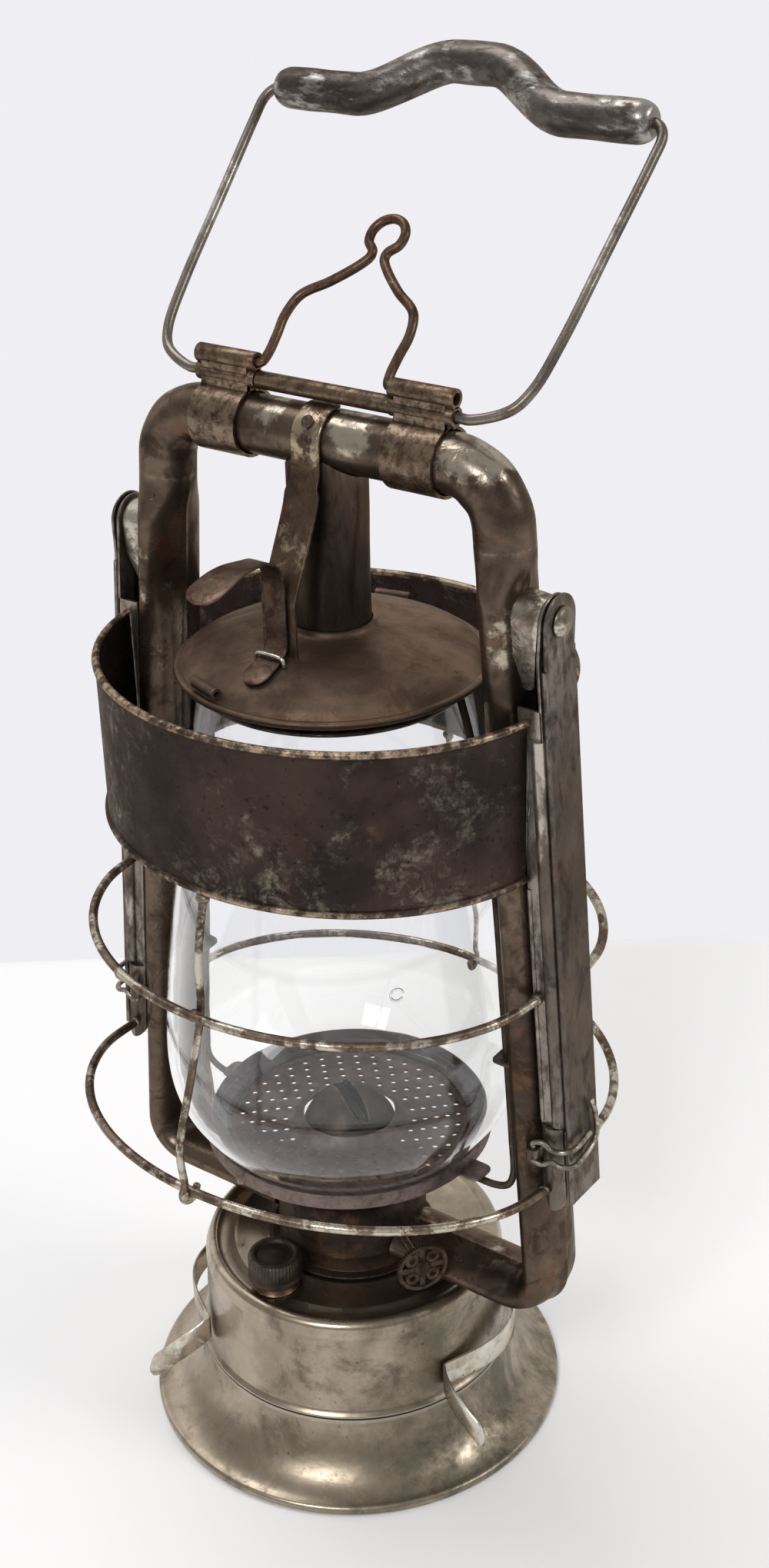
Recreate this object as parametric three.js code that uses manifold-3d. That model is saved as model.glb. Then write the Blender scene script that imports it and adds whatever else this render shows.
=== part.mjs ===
// A hot-blast tubular hand lantern of the kind carried on fire engines, in millimetres, +Z up.
// The origin is the centre of the resting rim. The side tubes stand at +X and -X, the guard that
// swings open is at the front, -Y, and the bails lean back towards +Y.
import * as THREE from 'three';
import { mergeVertices } from 'three/addons/utils/BufferGeometryUtils.js';
import Module from 'manifold-3d';

// Clearances and wall sizes shared by many pieces
const seatGap = 0.3;
const runningGap = 0.35;
const sheet = 0.9;
const overrun = 6;

// Fount and bell base
const rimRadius = 68;
const rimBead = 1.7;
const bellHeight = 22;
const bellThroatRadius = 51.4;
const bellCurveRadius = 55.5;
const bellCurveHeight = 7.5;
const fountHeight = 60;
const fountTopRadius = 48.2;
const fountShoulder = 3;
const fountSkirtDepth = 10;
const fountTopRise = 0.8;
const creaseBead = 1.1;
const burnerHoleRadius = 13;

// Spring clip round the fount
const clipHeight = 9;
const clipLow = 29.5;
const clipSheet = 0.8;
const clipMouthAngle = 52;
const clipTurn = 18;
const clipBowAngle = 62;
const clipBow = 4.2;
const clipFlare = 21;
const clipFlareTurn = 34;
const clipDroop = 11;
const clipTipHeight = 5.5;

// Filler neck and cap
const fillerReach = 36;
const fillerAngle = -7;
const neckRadius = 6.5;
const neckBore = 4.8;
const neckHeight = 7.7;
const neckFlange = 7.6;
const threadDepth = 0.5;
const threadPitch = 1.2;
const gasketThickness = 1;
const capSkirt = 5.6;
const capCrown = 2.9;
const capDish = 1.2;
const capKnurl = 0.35;

// Burner and wick
const chamberRadius = 24;
const chamberFlange = 3;
const chamberHeight = 24;
const chamberShoulder = 6;
const coneRadius = 16.4;
const coneHeight = 30;
const coneFlange = 2.6;
const flameSlotLength = 24;
const flameSlotWidth = 5;
const wickWidth = 20;
const wickThickness = 2;
const wickDip = 38;
const wickShow = 1.5;
const wickTubeWall = 0.6;
const wickTubeDip = 12;
const shaftRadius = 1.3;
const shaftHeight = 15;
const shaftAngle = 58;
const spurRadius = 4.4;
const spurThickness = 1.4;
const spurReach = 6;
const spurToothDepth = 0.9;
const wheelRadius = 8.5;
const wheelReach = 44.5;
const wheelRim = 1.5;
const wheelHub = 2.7;
const wheelSpoke = 1.9;
const floorSheet = 1.2;

// Frame of tubes
const topTubeRise = 64.5;
const topTubeRadius = 8.4;
const elbowRadius = 16;
const sideTubeHalfWidth = 5.9;
const sideTubeHalfDepth = 12;
const tubeShoulderDrop = 33;
const tubeShoulderSpan = 59;
const tubeLapDrop = 19;
const tubeSplay = 4.3;
const lowerRunHeight = 68.6;
const lowerElbowRadius = 11;
const tubeWall = 1;
const seamHeight = 0.8;
const centreTubeRadius = 11.4;
const centreTubeTopHalfWidth = 13;
const centreTubeTopHalfDepth = 8.2;
const centreTubeStraight = 17.5;
const centreTubeDip = 3.5;

// Canopy, its spring strap and thumb lever
const canopyRadius = 45.5;
const canopyLift = 2.8;
const canopyRise = 10.5;
const canopyBead = 1.2;
const canopyCollar = 1.6;
const lugRadius = 1.7;
const lugLength = 11;
const topRingRadius = 37;
const topRingHeight = 11;
const strapWidth = 11.5;
const strapNeckWidth = 9.5;
const strapFootReach = 23.4;
const strapKneeDrop = 39.5;
const strapJogDrop = 10;
const strapJog = 1.5;
const strapRivetRadius = 1.9;
const strapRivetShank = 0.9;
const leverWidth = 8.5;
const leverRise = 29;
const leverReach = 58;
const leverFoot = 13;
const leverFootWidth = 8.2;
const stapleWireRadius = 0.6;
const leverBend = 9;
const leverDroop = 3;

// Globe, its plate and the lift wires
const globeBulgeRadius = 56;
const globeFootRadius = 40;
const globeMouthRadius = 41.5;
const globeWall = 2;
const globeHeight = 158.5;
const plateHeight = 103;
const plateRadius = 45.5;
const plateRim = 4;
const plateHoleRadius = 1.2;
const plateFirstRow = 24.5;
const plateRowStep = 8;
const plateEar = 6.5;
const plateEarWidth = 9;
const liftWireRadius = 1.2;
const liftWireTopReach = 43.6;
const liftWireLowReach = 62;
const liftWireKnee = 6.5;
const guideHeight = 150;
const guideDepth = 8;
const guideThickness = 1.6;
const guideFlange = 11;
const guideSheet = 1.1;
const liftTravel = 12;

// Guard: rails, strips, bands, hoops and wires
const pivotDrop = 37;
const pivotRadius = 2;
const pivotHead = 4.3;
const pivotHeadRise = 2;
const earRadius = 7.6;
const earDrop = 9;
const railSpan = 74.4;
const railSplay = 4.16;
const railDepth = 14.5;
const railFlange = 7.6;
const railFootDrop = 18;
const layerGap = 0.9;
const stripFace = 8;
const stripWebDepth = 6.5;
const beadRadius = 2.1;
const beadRise = 2;
const tongueRise = 6.5;
const tongueDrop = 21;
const tongueWidth = 7;
const tongueBulge = 2;
const bandDrop = 76;
const bandHeight = 50;
const bandHalfWidth = 70.5;
const bandReach = 62;
const bandSheet = 0.9;
const bandBead = 1.2;
const hoopRadius = 1.45;
const hoopInset = 5.5;
const upperHoopHeight = 181;
const upperHoopReach = 70;
const lowerHoopDrop = 6;
const lowerHoopSag = 8;
const lowerHoopReach = 77;
const rearHoopExtra = 3;
const guardWireRadius = 1.2;
const guardWireBow = 6.5;
const claspWireRadius = 0.85;
const claspHeight = 131;
const claspSpread = 3;
const claspHook = 13;

// Bails and their brackets
const bracketInner = 22.5;
const bracketWidth = 20.5;
const sleeveWall = 1;
const sleeveRise = 4.2;
const sleevePitch = 4.8;
const bailWireRadius = 1.45;
const bailHalfWidth = 66;
const bailShoulder = 61;
const bailReach = 92;
const bailLean = 45;
const gripRadius = 6;
const gripHalfLength = 62;
const gripHump = 13.5;
const gripHumpHalfLength = 6;
const gripSlope = 29;
const gripNose = 5;
const gripSocket = 5;
const hangerWireRadius = 1.35;
const hangerHalfWidth = 20.4;
const hangerShoulder = 22;
const hangerNeck = 36.5;
const hangerNeckHalfWidth = 2.4;
const hangerEyeRadius = 5.5;
const axleTubeWall = 0.7;

// Counts and shares that shape the faceting and the small outlines
const roundSides = 30;
const fineSides = 36;
const coarseSides = 20;
const capSides = 28;
const tubeSides = 14;
const wireSides = 6;
const elbowSteps = 5;
const plateRowCounts = [16, 22];
const clipSteps = 26;
const domeShares = [0, 0.25, 0.6];
const lugAngles = [-18, 192];
const leverCurveSteps = 5;
const tongueCurveSteps = 8;
const tabShares = [0.25, 0.55, 0.85, 1];
const tabCurveShare = 1.15;
const globeProfileShares = [
  [0, 0], [0.4, 0.04], [0.82, 0.105], [1, 0.19], [0.97, 0.29], [0.8, 0.44], [0.5, 0.65],
  [0.22, 0.87], [0.094, 1],
];

const wasm = await Module();
wasm.setup();
const rad = THREE.MathUtils.degToRad;
const V3 = (x, y, z) => new THREE.Vector3(x, y, z);

// Derived places: the frame's height follows from the globe that stands in it, and the feet of the
// rails and strips and the lower hoops from the clasps
const plateTop = plateHeight + sheet;
const canopyRimHeight = plateTop + seatGap + globeHeight + canopyLift;
const topTubeHeight = canopyRimHeight + topTubeRise;
const tubeShoulderHeight = topTubeHeight - tubeShoulderDrop;
const tubeLapHeight = topTubeHeight - tubeLapDrop;
const pivotHeight = topTubeHeight - pivotDrop;
const bandLow = pivotHeight - bandDrop;
const tongueTop = claspHeight + tongueRise;
const tongueFoot = claspHeight - tongueDrop;
const beadFoot = tongueTop + beadRise;
const railFoot = claspHeight - railFootDrop;
const lowerHoopHeight = claspHeight - lowerHoopDrop;
const tubeSlope = Math.tan(rad(tubeSplay));
const railSlope = Math.tan(rad(railSplay));
const tubeX = (z) => tubeShoulderSpan + (tubeShoulderHeight - z) * tubeSlope;
const railX = (z) => railSpan + Math.max(0, pivotHeight - earDrop - z) * railSlope;
const fountBaseRadius = bellThroatRadius - sheet - seatGap;
const fountRadiusAt = (z) => fountBaseRadius
  + ((fountTopRadius - fountBaseRadius) * (z - bellHeight)) / (fountHeight - bellHeight);
const canopyRimCentre = canopyRimHeight - canopyBead;
const canopyTopAt = (r) => canopyRimHeight
  + canopyRise * (1 - ((r - centreTubeRadius) / (canopyRadius - centreTubeRadius)) ** 2);

// Closed solids and booleans
function toSolid(geometry) {
  const g = geometry.clone();
  g.deleteAttribute('normal');
  g.deleteAttribute('uv');
  const merged = mergeVertices(g, sheet / 900);
  const index = merged.index.array;
  const position = merged.attributes.position.array;
  const triangles = [];
  for (let i = 0; i < index.length; i += 3) {
    const [a, b, c] = [index[i], index[i + 1], index[i + 2]];
    if (a !== b && b !== c && c !== a) triangles.push(a, b, c);
  }
  return new wasm.Manifold(new wasm.Mesh({
    numProp: 3,
    vertProperties: new Float32Array(position),
    triVerts: new Uint32Array(triangles),
  }));
}

function toGeometry(solid) {
  const mesh = solid.getMesh();
  const g = new THREE.BufferGeometry();
  g.setAttribute('position', new THREE.BufferAttribute(new Float32Array(mesh.vertProperties), 3));
  g.setIndex(new THREE.BufferAttribute(new Uint32Array(mesh.triVerts), 1));
  g.computeVertexNormals();
  return g;
}

const join = (...geometries) => toGeometry(geometries.map(toSolid).reduce((a, b) => a.add(b)));
const cut = (body, ...tools) => toGeometry(tools.map(toSolid)
  .reduce((a, b) => a.subtract(b), toSolid(body)));
const common = (a, b) => toGeometry(toSolid(a).intersect(toSolid(b)));

// Mirrors a right-hand piece to the left and turns its faces the right way out again
function mirrored(geometry) {
  const g = (geometry.index ? geometry : mergeVertices(geometry)).clone();
  g.scale(-1, 1, 1);
  const index = g.index.array;
  for (let i = 0; i < index.length; i += 3) [index[i], index[i + 1]] = [index[i + 1], index[i]];
  g.computeVertexNormals();
  return g;
}

// A body of revolution about Z from an outline of [radius, height] pairs run anticlockwise
function revolve(outline, sides = roundSides) {
  const points = outline.map(([r, z]) => new THREE.Vector2(Math.max(r, 0), z));
  return new THREE.LatheGeometry(points, sides).rotateX(rad(90));
}

// An upright or lying round bar
function bar(radius, length, sides = tubeSides, boreRadius = 0) {
  const shape = new THREE.Shape().absarc(0, 0, radius, 0, rad(360));
  if (boreRadius > 0) shape.holes.push(new THREE.Path().absarc(0, 0, boreRadius, 0, rad(360)));
  const g = new THREE.ExtrudeGeometry(shape, {
    depth: length, bevelEnabled: false, curveSegments: sides / 2,
  });
  return g.translate(0, 0, -length / 2);
}
const barAlongX = (...args) => bar(...args).rotateY(rad(90));
const block = (x, y, z) => new THREE.BoxGeometry(x, y, z);

const through = (points) => new THREE.CatmullRomCurve3(points, false, 'centripetal');

// A round wire along a smooth line through the points, a few steps from each point to the next
function wire(points, radius, perSpan, sides = wireSides) {
  const line = through(points).getPoints((points.length - 1) * perSpan);
  let side = null;
  const stations = line.map((at, i) => {
    const ahead = line[Math.min(i + 1, line.length - 1)].clone()
      .sub(line[Math.max(i - 1, 0)]).normalize();
    if (!side) side = Math.abs(ahead.z) < 0.9 ? V3(0, 0, 1) : V3(0, 1, 0);
    side = side.clone().addScaledVector(ahead, -side.dot(ahead)).normalize();
    return { at, u: side, v: ahead.clone().cross(side), section: ovalSection(radius, radius, sides) };
  });
  return loft(stations);
}

// A skin through equal sections: each station is { at, u, v, section }, section a list of [u, v]
function loft(stations) {
  const count = stations[0].section.length;
  const position = [];
  for (const { at, u, v, section } of stations) {
    for (const [a, b] of section) {
      position.push(...at.clone().addScaledVector(u, a).addScaledVector(v, b).toArray());
    }
  }
  const index = [];
  for (let s = 0; s + 1 < stations.length; s += 1) {
    for (let i = 0; i < count; i += 1) {
      const j = (i + 1) % count;
      const [p, q, r, t] = [s * count + i, s * count + j, (s + 1) * count + j, (s + 1) * count + i];
      index.push(p, q, r, p, r, t);
    }
  }
  const last = (stations.length - 1) * count;
  const flat = (station) => station.section.map(([a, b]) => new THREE.Vector2(a, b));
  const clockwise = THREE.ShapeUtils.isClockWise(flat(stations[0]));
  const faces = (station) => {
    const contour = clockwise ? flat(station).reverse() : flat(station);
    return THREE.ShapeUtils.triangulateShape(contour, [])
      .map((face) => face.map((k) => (clockwise ? count - 1 - k : k)));
  };
  for (const [a, b, c] of faces(stations[0])) index.push(...(clockwise ? [a, b, c] : [a, c, b]));
  for (const [a, b, c] of faces(stations.at(-1))) {
    index.push(...(clockwise ? [a, c, b] : [a, b, c]).map((k) => last + k));
  }
  const g = new THREE.BufferGeometry();
  g.setAttribute('position', new THREE.Float32BufferAttribute(position, 3));
  g.setIndex(index);
  return outward(g);
}

// Turns every face round if the closed mesh is inside out
function outward(g) {
  const p = g.attributes.position;
  const index = g.index.array;
  const [a, b, c] = [V3(0, 0, 0), V3(0, 0, 0), V3(0, 0, 0)];
  let volume = 0;
  for (let i = 0; i < index.length; i += 3) {
    a.fromBufferAttribute(p, index[i]);
    b.fromBufferAttribute(p, index[i + 1]);
    c.fromBufferAttribute(p, index[i + 2]);
    volume += a.dot(b.cross(c));
  }
  if (volume < 0) {
    for (let i = 0; i < index.length; i += 3) [index[i], index[i + 1]] = [index[i + 1], index[i]];
  }
  g.computeVertexNormals();
  return g;
}

const ovalSection = (halfU, halfV, sides = tubeSides) => Array.from({ length: sides }, (_, i) => {
  const a = (rad(360) * i) / sides;
  return [halfU * Math.cos(a), halfV * Math.sin(a)];
});

// A flat strip bent to a line of [y, z] points and as wide as it says along X
function ribbon(line, thickness, width) {
  const half = thickness / 2;
  const side = (sign) => line.map((point, i) => {
    const before = line[Math.max(i - 1, 0)];
    const after = line[Math.min(i + 1, line.length - 1)];
    const dy = after[0] - before[0];
    const dz = after[1] - before[1];
    const length = Math.hypot(dy, dz);
    return new THREE.Vector2(point[0] - (sign * half * dz) / length,
      point[1] + (sign * half * dy) / length);
  });
  const shape = new THREE.Shape([...side(1), ...side(-1).reverse()]);
  const g = new THREE.ExtrudeGeometry(shape, { depth: width, bevelEnabled: false });
  g.translate(0, 0, -width / 2);
  // The outline was drawn in X and Y: its X becomes Y, its Y becomes Z
  return g.applyMatrix4(new THREE.Matrix4().set(0, 0, 1, 0, 1, 0, 0, 0, 0, 1, 0, 0, 0, 0, 0, 1));
}

// A plate standing across X from an outline of [y, z] points
function platePiece(outline, xLow, thickness) {
  const shape = new THREE.Shape(outline.map(([y, z]) => new THREE.Vector2(y, z)));
  const g = new THREE.ExtrudeGeometry(shape, { depth: thickness, bevelEnabled: false });
  g.applyMatrix4(new THREE.Matrix4().set(0, 0, 1, 0, 1, 0, 0, 0, 0, 1, 0, 0, 0, 0, 0, 1));
  return g.translate(xLow, 0, 0);
}

const arcPoints = (cy, cz, radius, from, to, steps) => Array.from({ length: steps + 1 }, (_, i) => {
  const a = rad(from + ((to - from) * i) / steps);
  return [cy + radius * Math.cos(a), cz + radius * Math.sin(a)];
});

const lantern = new THREE.Group();
const finishes = {
  nickel: [0x8f887b, 0.34, 0.9],
  tin: [0x6f675c, 0.5, 0.85],
  brown: [0x4b3d33, 0.6, 0.7],
  dark: [0x2f2a27, 0.65, 0.6],
  glass: [0xdfe6e6, 0.05, 0],
  bright: [0xb9b4aa, 0.3, 0.95],
  cotton: [0xcfc6b0, 0.95, 0],
  cork: [0x7b6144, 0.9, 0],
};

function piece(name, geometry, finish, parent = lantern) {
  const [color, roughness, metalness] = finishes[finish];
  const material = new THREE.MeshStandardMaterial({ color, roughness, metalness });
  const mesh = new THREE.Mesh(geometry, material);
  mesh.name = name;
  parent.add(mesh);
  return mesh;
}

function pair(name, geometry, finish) {
  piece(`${name}_right`, geometry, finish);
  piece(`${name}_left`, mirrored(geometry), finish);
}

// Bell base: a flared skirt with a rolled rim below and a plain collar round the fount
function bellSkirt() {
  const flare = new THREE.QuadraticBezierCurve(
    new THREE.Vector2(rimRadius - rimBead, rimBead * 2),
    new THREE.Vector2(bellCurveRadius, bellCurveHeight),
    new THREE.Vector2(bellThroatRadius, bellHeight),
  ).getPoints(4).map((p) => [p.x, p.y]);
  const rim = arcPoints(rimRadius - rimBead, rimBead, rimBead, -90, 60, 3);
  const inner = flare.map(([r, z]) => [r - sheet, z - sheet * 0.4]).reverse();
  const collar = bellHeight + clipHeight / 4;
  const outline = [...rim, ...flare, [bellThroatRadius, collar], [bellThroatRadius - sheet, collar],
    ...inner, [rimRadius - rimBead * 2, 0], rim[0]];
  return revolve(outline, fineSides);
}

// The filler stands off the middle, a little to the left of the front
const atFiller = (geometry) => geometry.translate(0, -fillerReach, 0).rotateZ(rad(fillerAngle));

// Fount: drawn top and side wall in one, open below, with its filler and burner holes
function fountShell() {
  const foot = bellHeight - fountSkirtDepth;
  const collar = bellHeight + clipHeight / 4 + seatGap;
  const wallRadius = (z) => (z < collar ? fountBaseRadius : fountRadiusAt(z));
  const crease = [[wallRadius(collar), collar], [bellThroatRadius, collar + creaseBead / 3],
    [bellThroatRadius, collar + creaseBead], [fountRadiusAt(collar + creaseBead * 2),
      collar + creaseBead * 2]];
  const shoulder = arcPoints(fountTopRadius - fountShoulder, fountHeight - fountShoulder,
    fountShoulder, 0, 90, 3);
  const recess = fountHeight - fountTopRise;
  const outline = [
    [fountBaseRadius - sheet, foot], [fountBaseRadius, foot], ...crease, ...shoulder,
    [fountTopRadius - fountShoulder * 1.1, fountHeight],
    [fountTopRadius - fountShoulder * 1.3, recess],
    [burnerHoleRadius, recess], [burnerHoleRadius, recess - sheet],
    [fountTopRadius - fountShoulder * 1.6, recess - sheet],
    [fountTopRadius - fountShoulder * 0.6, recess - fountShoulder],
    [fountBaseRadius - sheet, collar],
    [fountBaseRadius - sheet, foot],
  ];
  const hole = atFiller(bar(neckBore, overrun)).translate(0, 0, recess);
  return cut(revolve(outline, fineSides), hole);
}

function fountBottom() {
  const radius = fountBaseRadius - sheet - seatGap;
  const low = bellHeight - fountSkirtDepth + sheet;
  return revolve([[0, low + sheet], [radius - fountShoulder, low + sheet],
    [radius - fountShoulder, low], [radius, low], [radius, low + fountShoulder],
    [radius - sheet, low + fountShoulder], [radius - sheet, low + sheet * 2],
    [0, low + sheet * 2]], fineSides);
}

// Spring clip: a strip round the back of the fount that bows off it at the sides, touches again
// at the mouth and flares out as two finger tabs
function springClip() {
  const seat = fountBaseRadius + seatGap + clipSheet / 2;
  const reachAt = (angle) => {
    const fromMouth = Math.abs(angle) - clipMouthAngle;
    if (fromMouth >= clipBowAngle) return seat;
    return seat + clipBow * Math.sin((rad(180) * fromMouth) / clipBowAngle) ** 2;
  };
  const place = (angle, r) => V3(r * Math.sin(rad(angle)), -r * Math.cos(rad(angle)), clipLow);
  const tab = (sign) => {
    const root = place(sign * clipMouthAngle, seat);
    const out = V3(Math.sin(rad(sign * clipMouthAngle)), -Math.cos(rad(clipMouthAngle)), 0);
    const along = V3(-out.y, out.x, 0).multiplyScalar(sign);
    return tabShares.map((t) => root.clone()
      .addScaledVector(out, clipFlare * t ** tabCurveShare)
      .addScaledVector(along, -clipFlare * Math.sin(rad(clipFlareTurn)) * t * (1 - t))
      .setZ(clipLow - clipDroop * t * t));
  };
  const body = [];
  for (let i = 0; i <= clipSteps; i += 1) {
    const angle = clipMouthAngle + ((360 - 2 * clipMouthAngle) * i) / clipSteps;
    const signed = angle > 180 ? angle - 360 : angle;
    body.push(place(angle, reachAt(signed)));
  }
  const line = [...tab(1).reverse(), ...body, ...tab(-1)];
  const half = clipSheet / 2;
  const stations = line.map((at, i) => {
    const ahead = line[Math.min(i + 1, line.length - 1)].clone().sub(line[Math.max(i - 1, 0)]);
    const across = V3(ahead.y, -ahead.x, 0).normalize();
    const atTip = i === 0 || i === line.length - 1;
    const inset = atTip ? (clipHeight - clipTipHeight) / 2 : 0;
    return {
      at, u: across, v: V3(0, 0, 1),
      section: [[-half, inset], [half, inset], [half, clipHeight - inset], [-half, clipHeight - inset]],
    };
  });
  return loft(stations).rotateZ(rad(clipTurn));
}

// Filler: threaded neck, gasket and cap
const neckFoot = fountHeight - fountTopRise + seatGap;
const neckTop = neckFoot + neckHeight;
const gasketTop = neckTop + seatGap + gasketThickness;

function fillerNeck() {
  const turns = 3;
  const threads = [];
  for (let i = 0; i < turns; i += 1) {
    const z = neckTop - threadPitch * (turns - i + 0.2);
    threads.push([neckRadius - threadDepth, z], [neckRadius, z + threadPitch / 2]);
  }
  const outline = [[neckBore, neckFoot], [neckFlange, neckFoot], [neckFlange, neckFoot + sheet],
    [neckRadius - threadDepth, neckFoot + sheet * 2], ...threads,
    [neckRadius - threadDepth, neckTop], [neckBore, neckTop], [neckBore, neckFoot]];
  return atFiller(revolve(outline, coarseSides));
}

function capGasket() {
  const low = neckTop + seatGap;
  const radius = neckRadius - threadDepth;
  return atFiller(revolve([[0, low], [radius, low], [radius, gasketTop], [0, gasketTop]], tubeSides));
}

function fillerCap() {
  const inner = neckRadius + runningGap;
  const outer = inner + sheet * 1.6;
  const low = gasketTop - capSkirt;
  const ceiling = gasketTop + seatGap;
  const crown = ceiling + capCrown;
  const outline = [[inner, low], [outer, low], [outer + sheet / 2, low + sheet],
    [outer, low + sheet * 2], [outer, crown - sheet], [outer - sheet, crown],
    [outer - sheet * 2, crown], [outer - sheet * 3, crown - capDish], [0, crown - capDish],
    [0, ceiling], [inner, ceiling], [inner, low]];
  const knurled = revolve(outline, capSides);
  const p = knurled.attributes.position;
  const edge = outer - sheet / 5;
  for (let i = 0; i < p.count; i += 1) {
    const r = Math.hypot(p.getX(i), p.getY(i));
    const a = Math.atan2(p.getY(i), p.getX(i));
    const notch = Math.round((a * capSides) / rad(360)) % 2 === 0;
    if (r > edge && notch) {
      const share = (r - capKnurl) / r;
      p.setXY(i, p.getX(i) * share, p.getY(i) * share);
    }
  }
  return atFiller(knurled);
}

// Burner: floor, air chamber, cone, wick tube, wick, spur shaft and wheel
const chamberFoot = fountHeight + seatGap;
const chamberTop = chamberFoot + chamberHeight;
const shaftZ = chamberFoot + shaftHeight;
const tubeBoreWidth = wickWidth + runningGap * 2;
const tubeBoreThickness = wickThickness + runningGap * 2;
const coneFoot = chamberTop + seatGap;
const coneTop = coneFoot + coneHeight;
const spurOffset = wickThickness / 2 + seatGap + spurRadius;
const turned = (geometry) => geometry.rotateZ(rad(shaftAngle - 90));

function burnerFloor() {
  const low = fountHeight - fountTopRise + seatGap;
  const radius = chamberRadius - sheet - seatGap;
  const disc = revolve([[0, low], [radius, low], [radius, low + floorSheet],
    [0, low + floorSheet]], roundSides);
  const slot = block(tubeBoreWidth + wickTubeWall * 2 + seatGap * 2,
    tubeBoreThickness + wickTubeWall * 2 + seatGap * 2, overrun * 2).translate(0, 0, low);
  return cut(disc, turned(slot));
}

function airChamber() {
  const inner = chamberRadius - sheet;
  const throat = coneRadius - coneFlange * 1.5;
  const outline = [[inner, chamberFoot], [chamberRadius + chamberFlange, chamberFoot],
    [chamberRadius + chamberFlange, chamberFoot + sheet],
    [chamberRadius, chamberFoot + sheet * 1.1], [chamberRadius, chamberTop - chamberShoulder],
    [chamberRadius - chamberShoulder * 0.35, chamberTop - chamberShoulder * 0.3],
    [chamberRadius - chamberShoulder, chamberTop], [throat, chamberTop],
    [throat, chamberTop - sheet], [inner - chamberShoulder, chamberTop - sheet],
    [inner - chamberShoulder * 0.35, chamberTop - chamberShoulder * 0.3 - sheet],
    [inner, chamberTop - chamberShoulder - sheet / 2], [inner, chamberFoot]];
  const ports = [1, -1].map((side) => loft([0, 1].map((i) => ({
    at: V3(side * (chamberRadius + (i - 0.5) * overrun * 2), 0, lowerRunHeight),
    u: V3(0, 0, 1), v: V3(0, 1, 0),
    section: ovalSection(sideTubeHalfWidth - tubeWall, sideTubeHalfDepth - tubeWall),
  }))));
  const shaftHole = barAlongX(shaftRadius + runningGap, chamberRadius * 2, tubeSides / 2)
    .translate(chamberRadius, spurOffset, shaftZ);
  return cut(revolve(outline), ...ports, turned(shaftHole));
}

function burnerCone() {
  const foot = coneFoot;
  const side = [[coneRadius, sheet], [coneRadius, 0.34 * coneHeight],
    [coneRadius * 0.93, 0.6 * coneHeight], [coneRadius * 0.72, 0.84 * coneHeight],
    [coneRadius * 0.4, 0.97 * coneHeight], [0, coneHeight]];
  const inside = side.map(([r, z]) => [Math.max(r - sheet, 0), z - sheet]).reverse();
  const outline = [...[[coneRadius - sheet, 0], [coneRadius + coneFlange, 0],
    [coneRadius + coneFlange, sheet], ...side, ...inside.slice(0, -1),
    [coneRadius - sheet, 0]].map(([r, z]) => [r, foot + z])];
  const slot = block(flameSlotLength, flameSlotWidth, coneHeight).translate(0, 0, coneTop);
  const vents = Array.from({ length: 6 }, (_, i) => barAlongX(sheet, coneRadius * 3, 4)
    .translate(coneRadius * 1.5, 0, foot + coneHeight * 0.18).rotateZ((rad(360) * i) / 6));
  return cut(revolve(outline, coarseSides), turned(slot), ...vents);
}

function wickTube() {
  const low = fountHeight - wickTubeDip;
  const high = coneTop - coneHeight * 0.16;
  const middle = (low + high) / 2;
  const outer = block(tubeBoreWidth + wickTubeWall * 2, tubeBoreThickness + wickTubeWall * 2,
    high - low).translate(0, 0, middle);
  const bore = block(tubeBoreWidth, tubeBoreThickness, high - low + overrun)
    .translate(0, 0, middle);
  const windowWidth = spurThickness + runningGap * 2;
  const windows = [1, -1].map((side) => block(windowWidth, spurRadius * 2, spurRadius * 1.6)
    .translate(side * spurReach, spurRadius, shaftZ));
  return turned(cut(outer, bore, ...windows));
}

function wick() {
  const low = fountHeight - wickDip;
  const high = coneTop - coneHeight * 0.16 + wickShow;
  return turned(block(wickWidth, wickThickness, high - low).translate(0, 0, (low + high) / 2));
}

function spurGear() {
  const teeth = 8;
  const points = [];
  for (let i = 0; i < teeth * 2; i += 1) {
    const r = i % 2 === 0 ? spurRadius : spurRadius - spurToothDepth;
    const a = (rad(180) * i) / teeth;
    points.push(new THREE.Vector2(r * Math.cos(a), r * Math.sin(a)));
  }
  const g = new THREE.ExtrudeGeometry(new THREE.Shape(points),
    { depth: spurThickness, bevelEnabled: false });
  return g.translate(0, 0, -spurThickness / 2).rotateY(rad(90));
}

const shaftLow = -spurReach - spurThickness * 2;
const shaftHigh = wheelReach - wheelHub / 2;

function spurShaft() {
  const length = shaftHigh - shaftLow;
  const shaft = barAlongX(shaftRadius, length, tubeSides / 2)
    .translate((shaftLow + shaftHigh) / 2, 0, 0);
  const spurs = [1, -1].map((side) => spurGear().translate(side * spurReach, 0, 0));
  return turned(join(shaft, ...spurs).translate(0, spurOffset, shaftZ));
}

function wickWheel() {
  const ring = barAlongX(wheelRadius, wheelRim, coarseSides, wheelRadius - wheelRim);
  const hub = barAlongX(wheelHub, wheelHub, tubeSides);
  const spokes = Array.from({ length: 4 }, (_, i) => block(wheelRim * 0.6, wheelRadius - wheelRim / 2,
    wheelSpoke).translate(0, (wheelRadius - wheelRim / 2) / 2, 0).rotateX(rad(90) * i));
  const bosses = Array.from({ length: 4 }, (_, i) => barAlongX(wheelSpoke * 1.2, wheelRim * 0.8,
    tubeSides / 2).translate(0, wheelRadius * 0.56, 0).rotateX(rad(90) * i + rad(45)));
  const blind = barAlongX(shaftRadius + seatGap, wheelHub, tubeSides / 2)
    .translate(-wheelHub + sheet / 2, 0, 0);
  const arms = bosses.map((boss, i) => {
    const link = block(wheelRim * 0.6, wheelRadius * 0.56, wheelSpoke * 0.7)
      .translate(0, wheelRadius * 0.28, 0).rotateX(rad(90) * i + rad(45));
    return join(boss, link);
  });
  const wheel = cut(join(ring, hub, ...spokes, ...arms), blind);
  return turned(wheel.translate(wheelReach, spurOffset, shaftZ));
}

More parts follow.
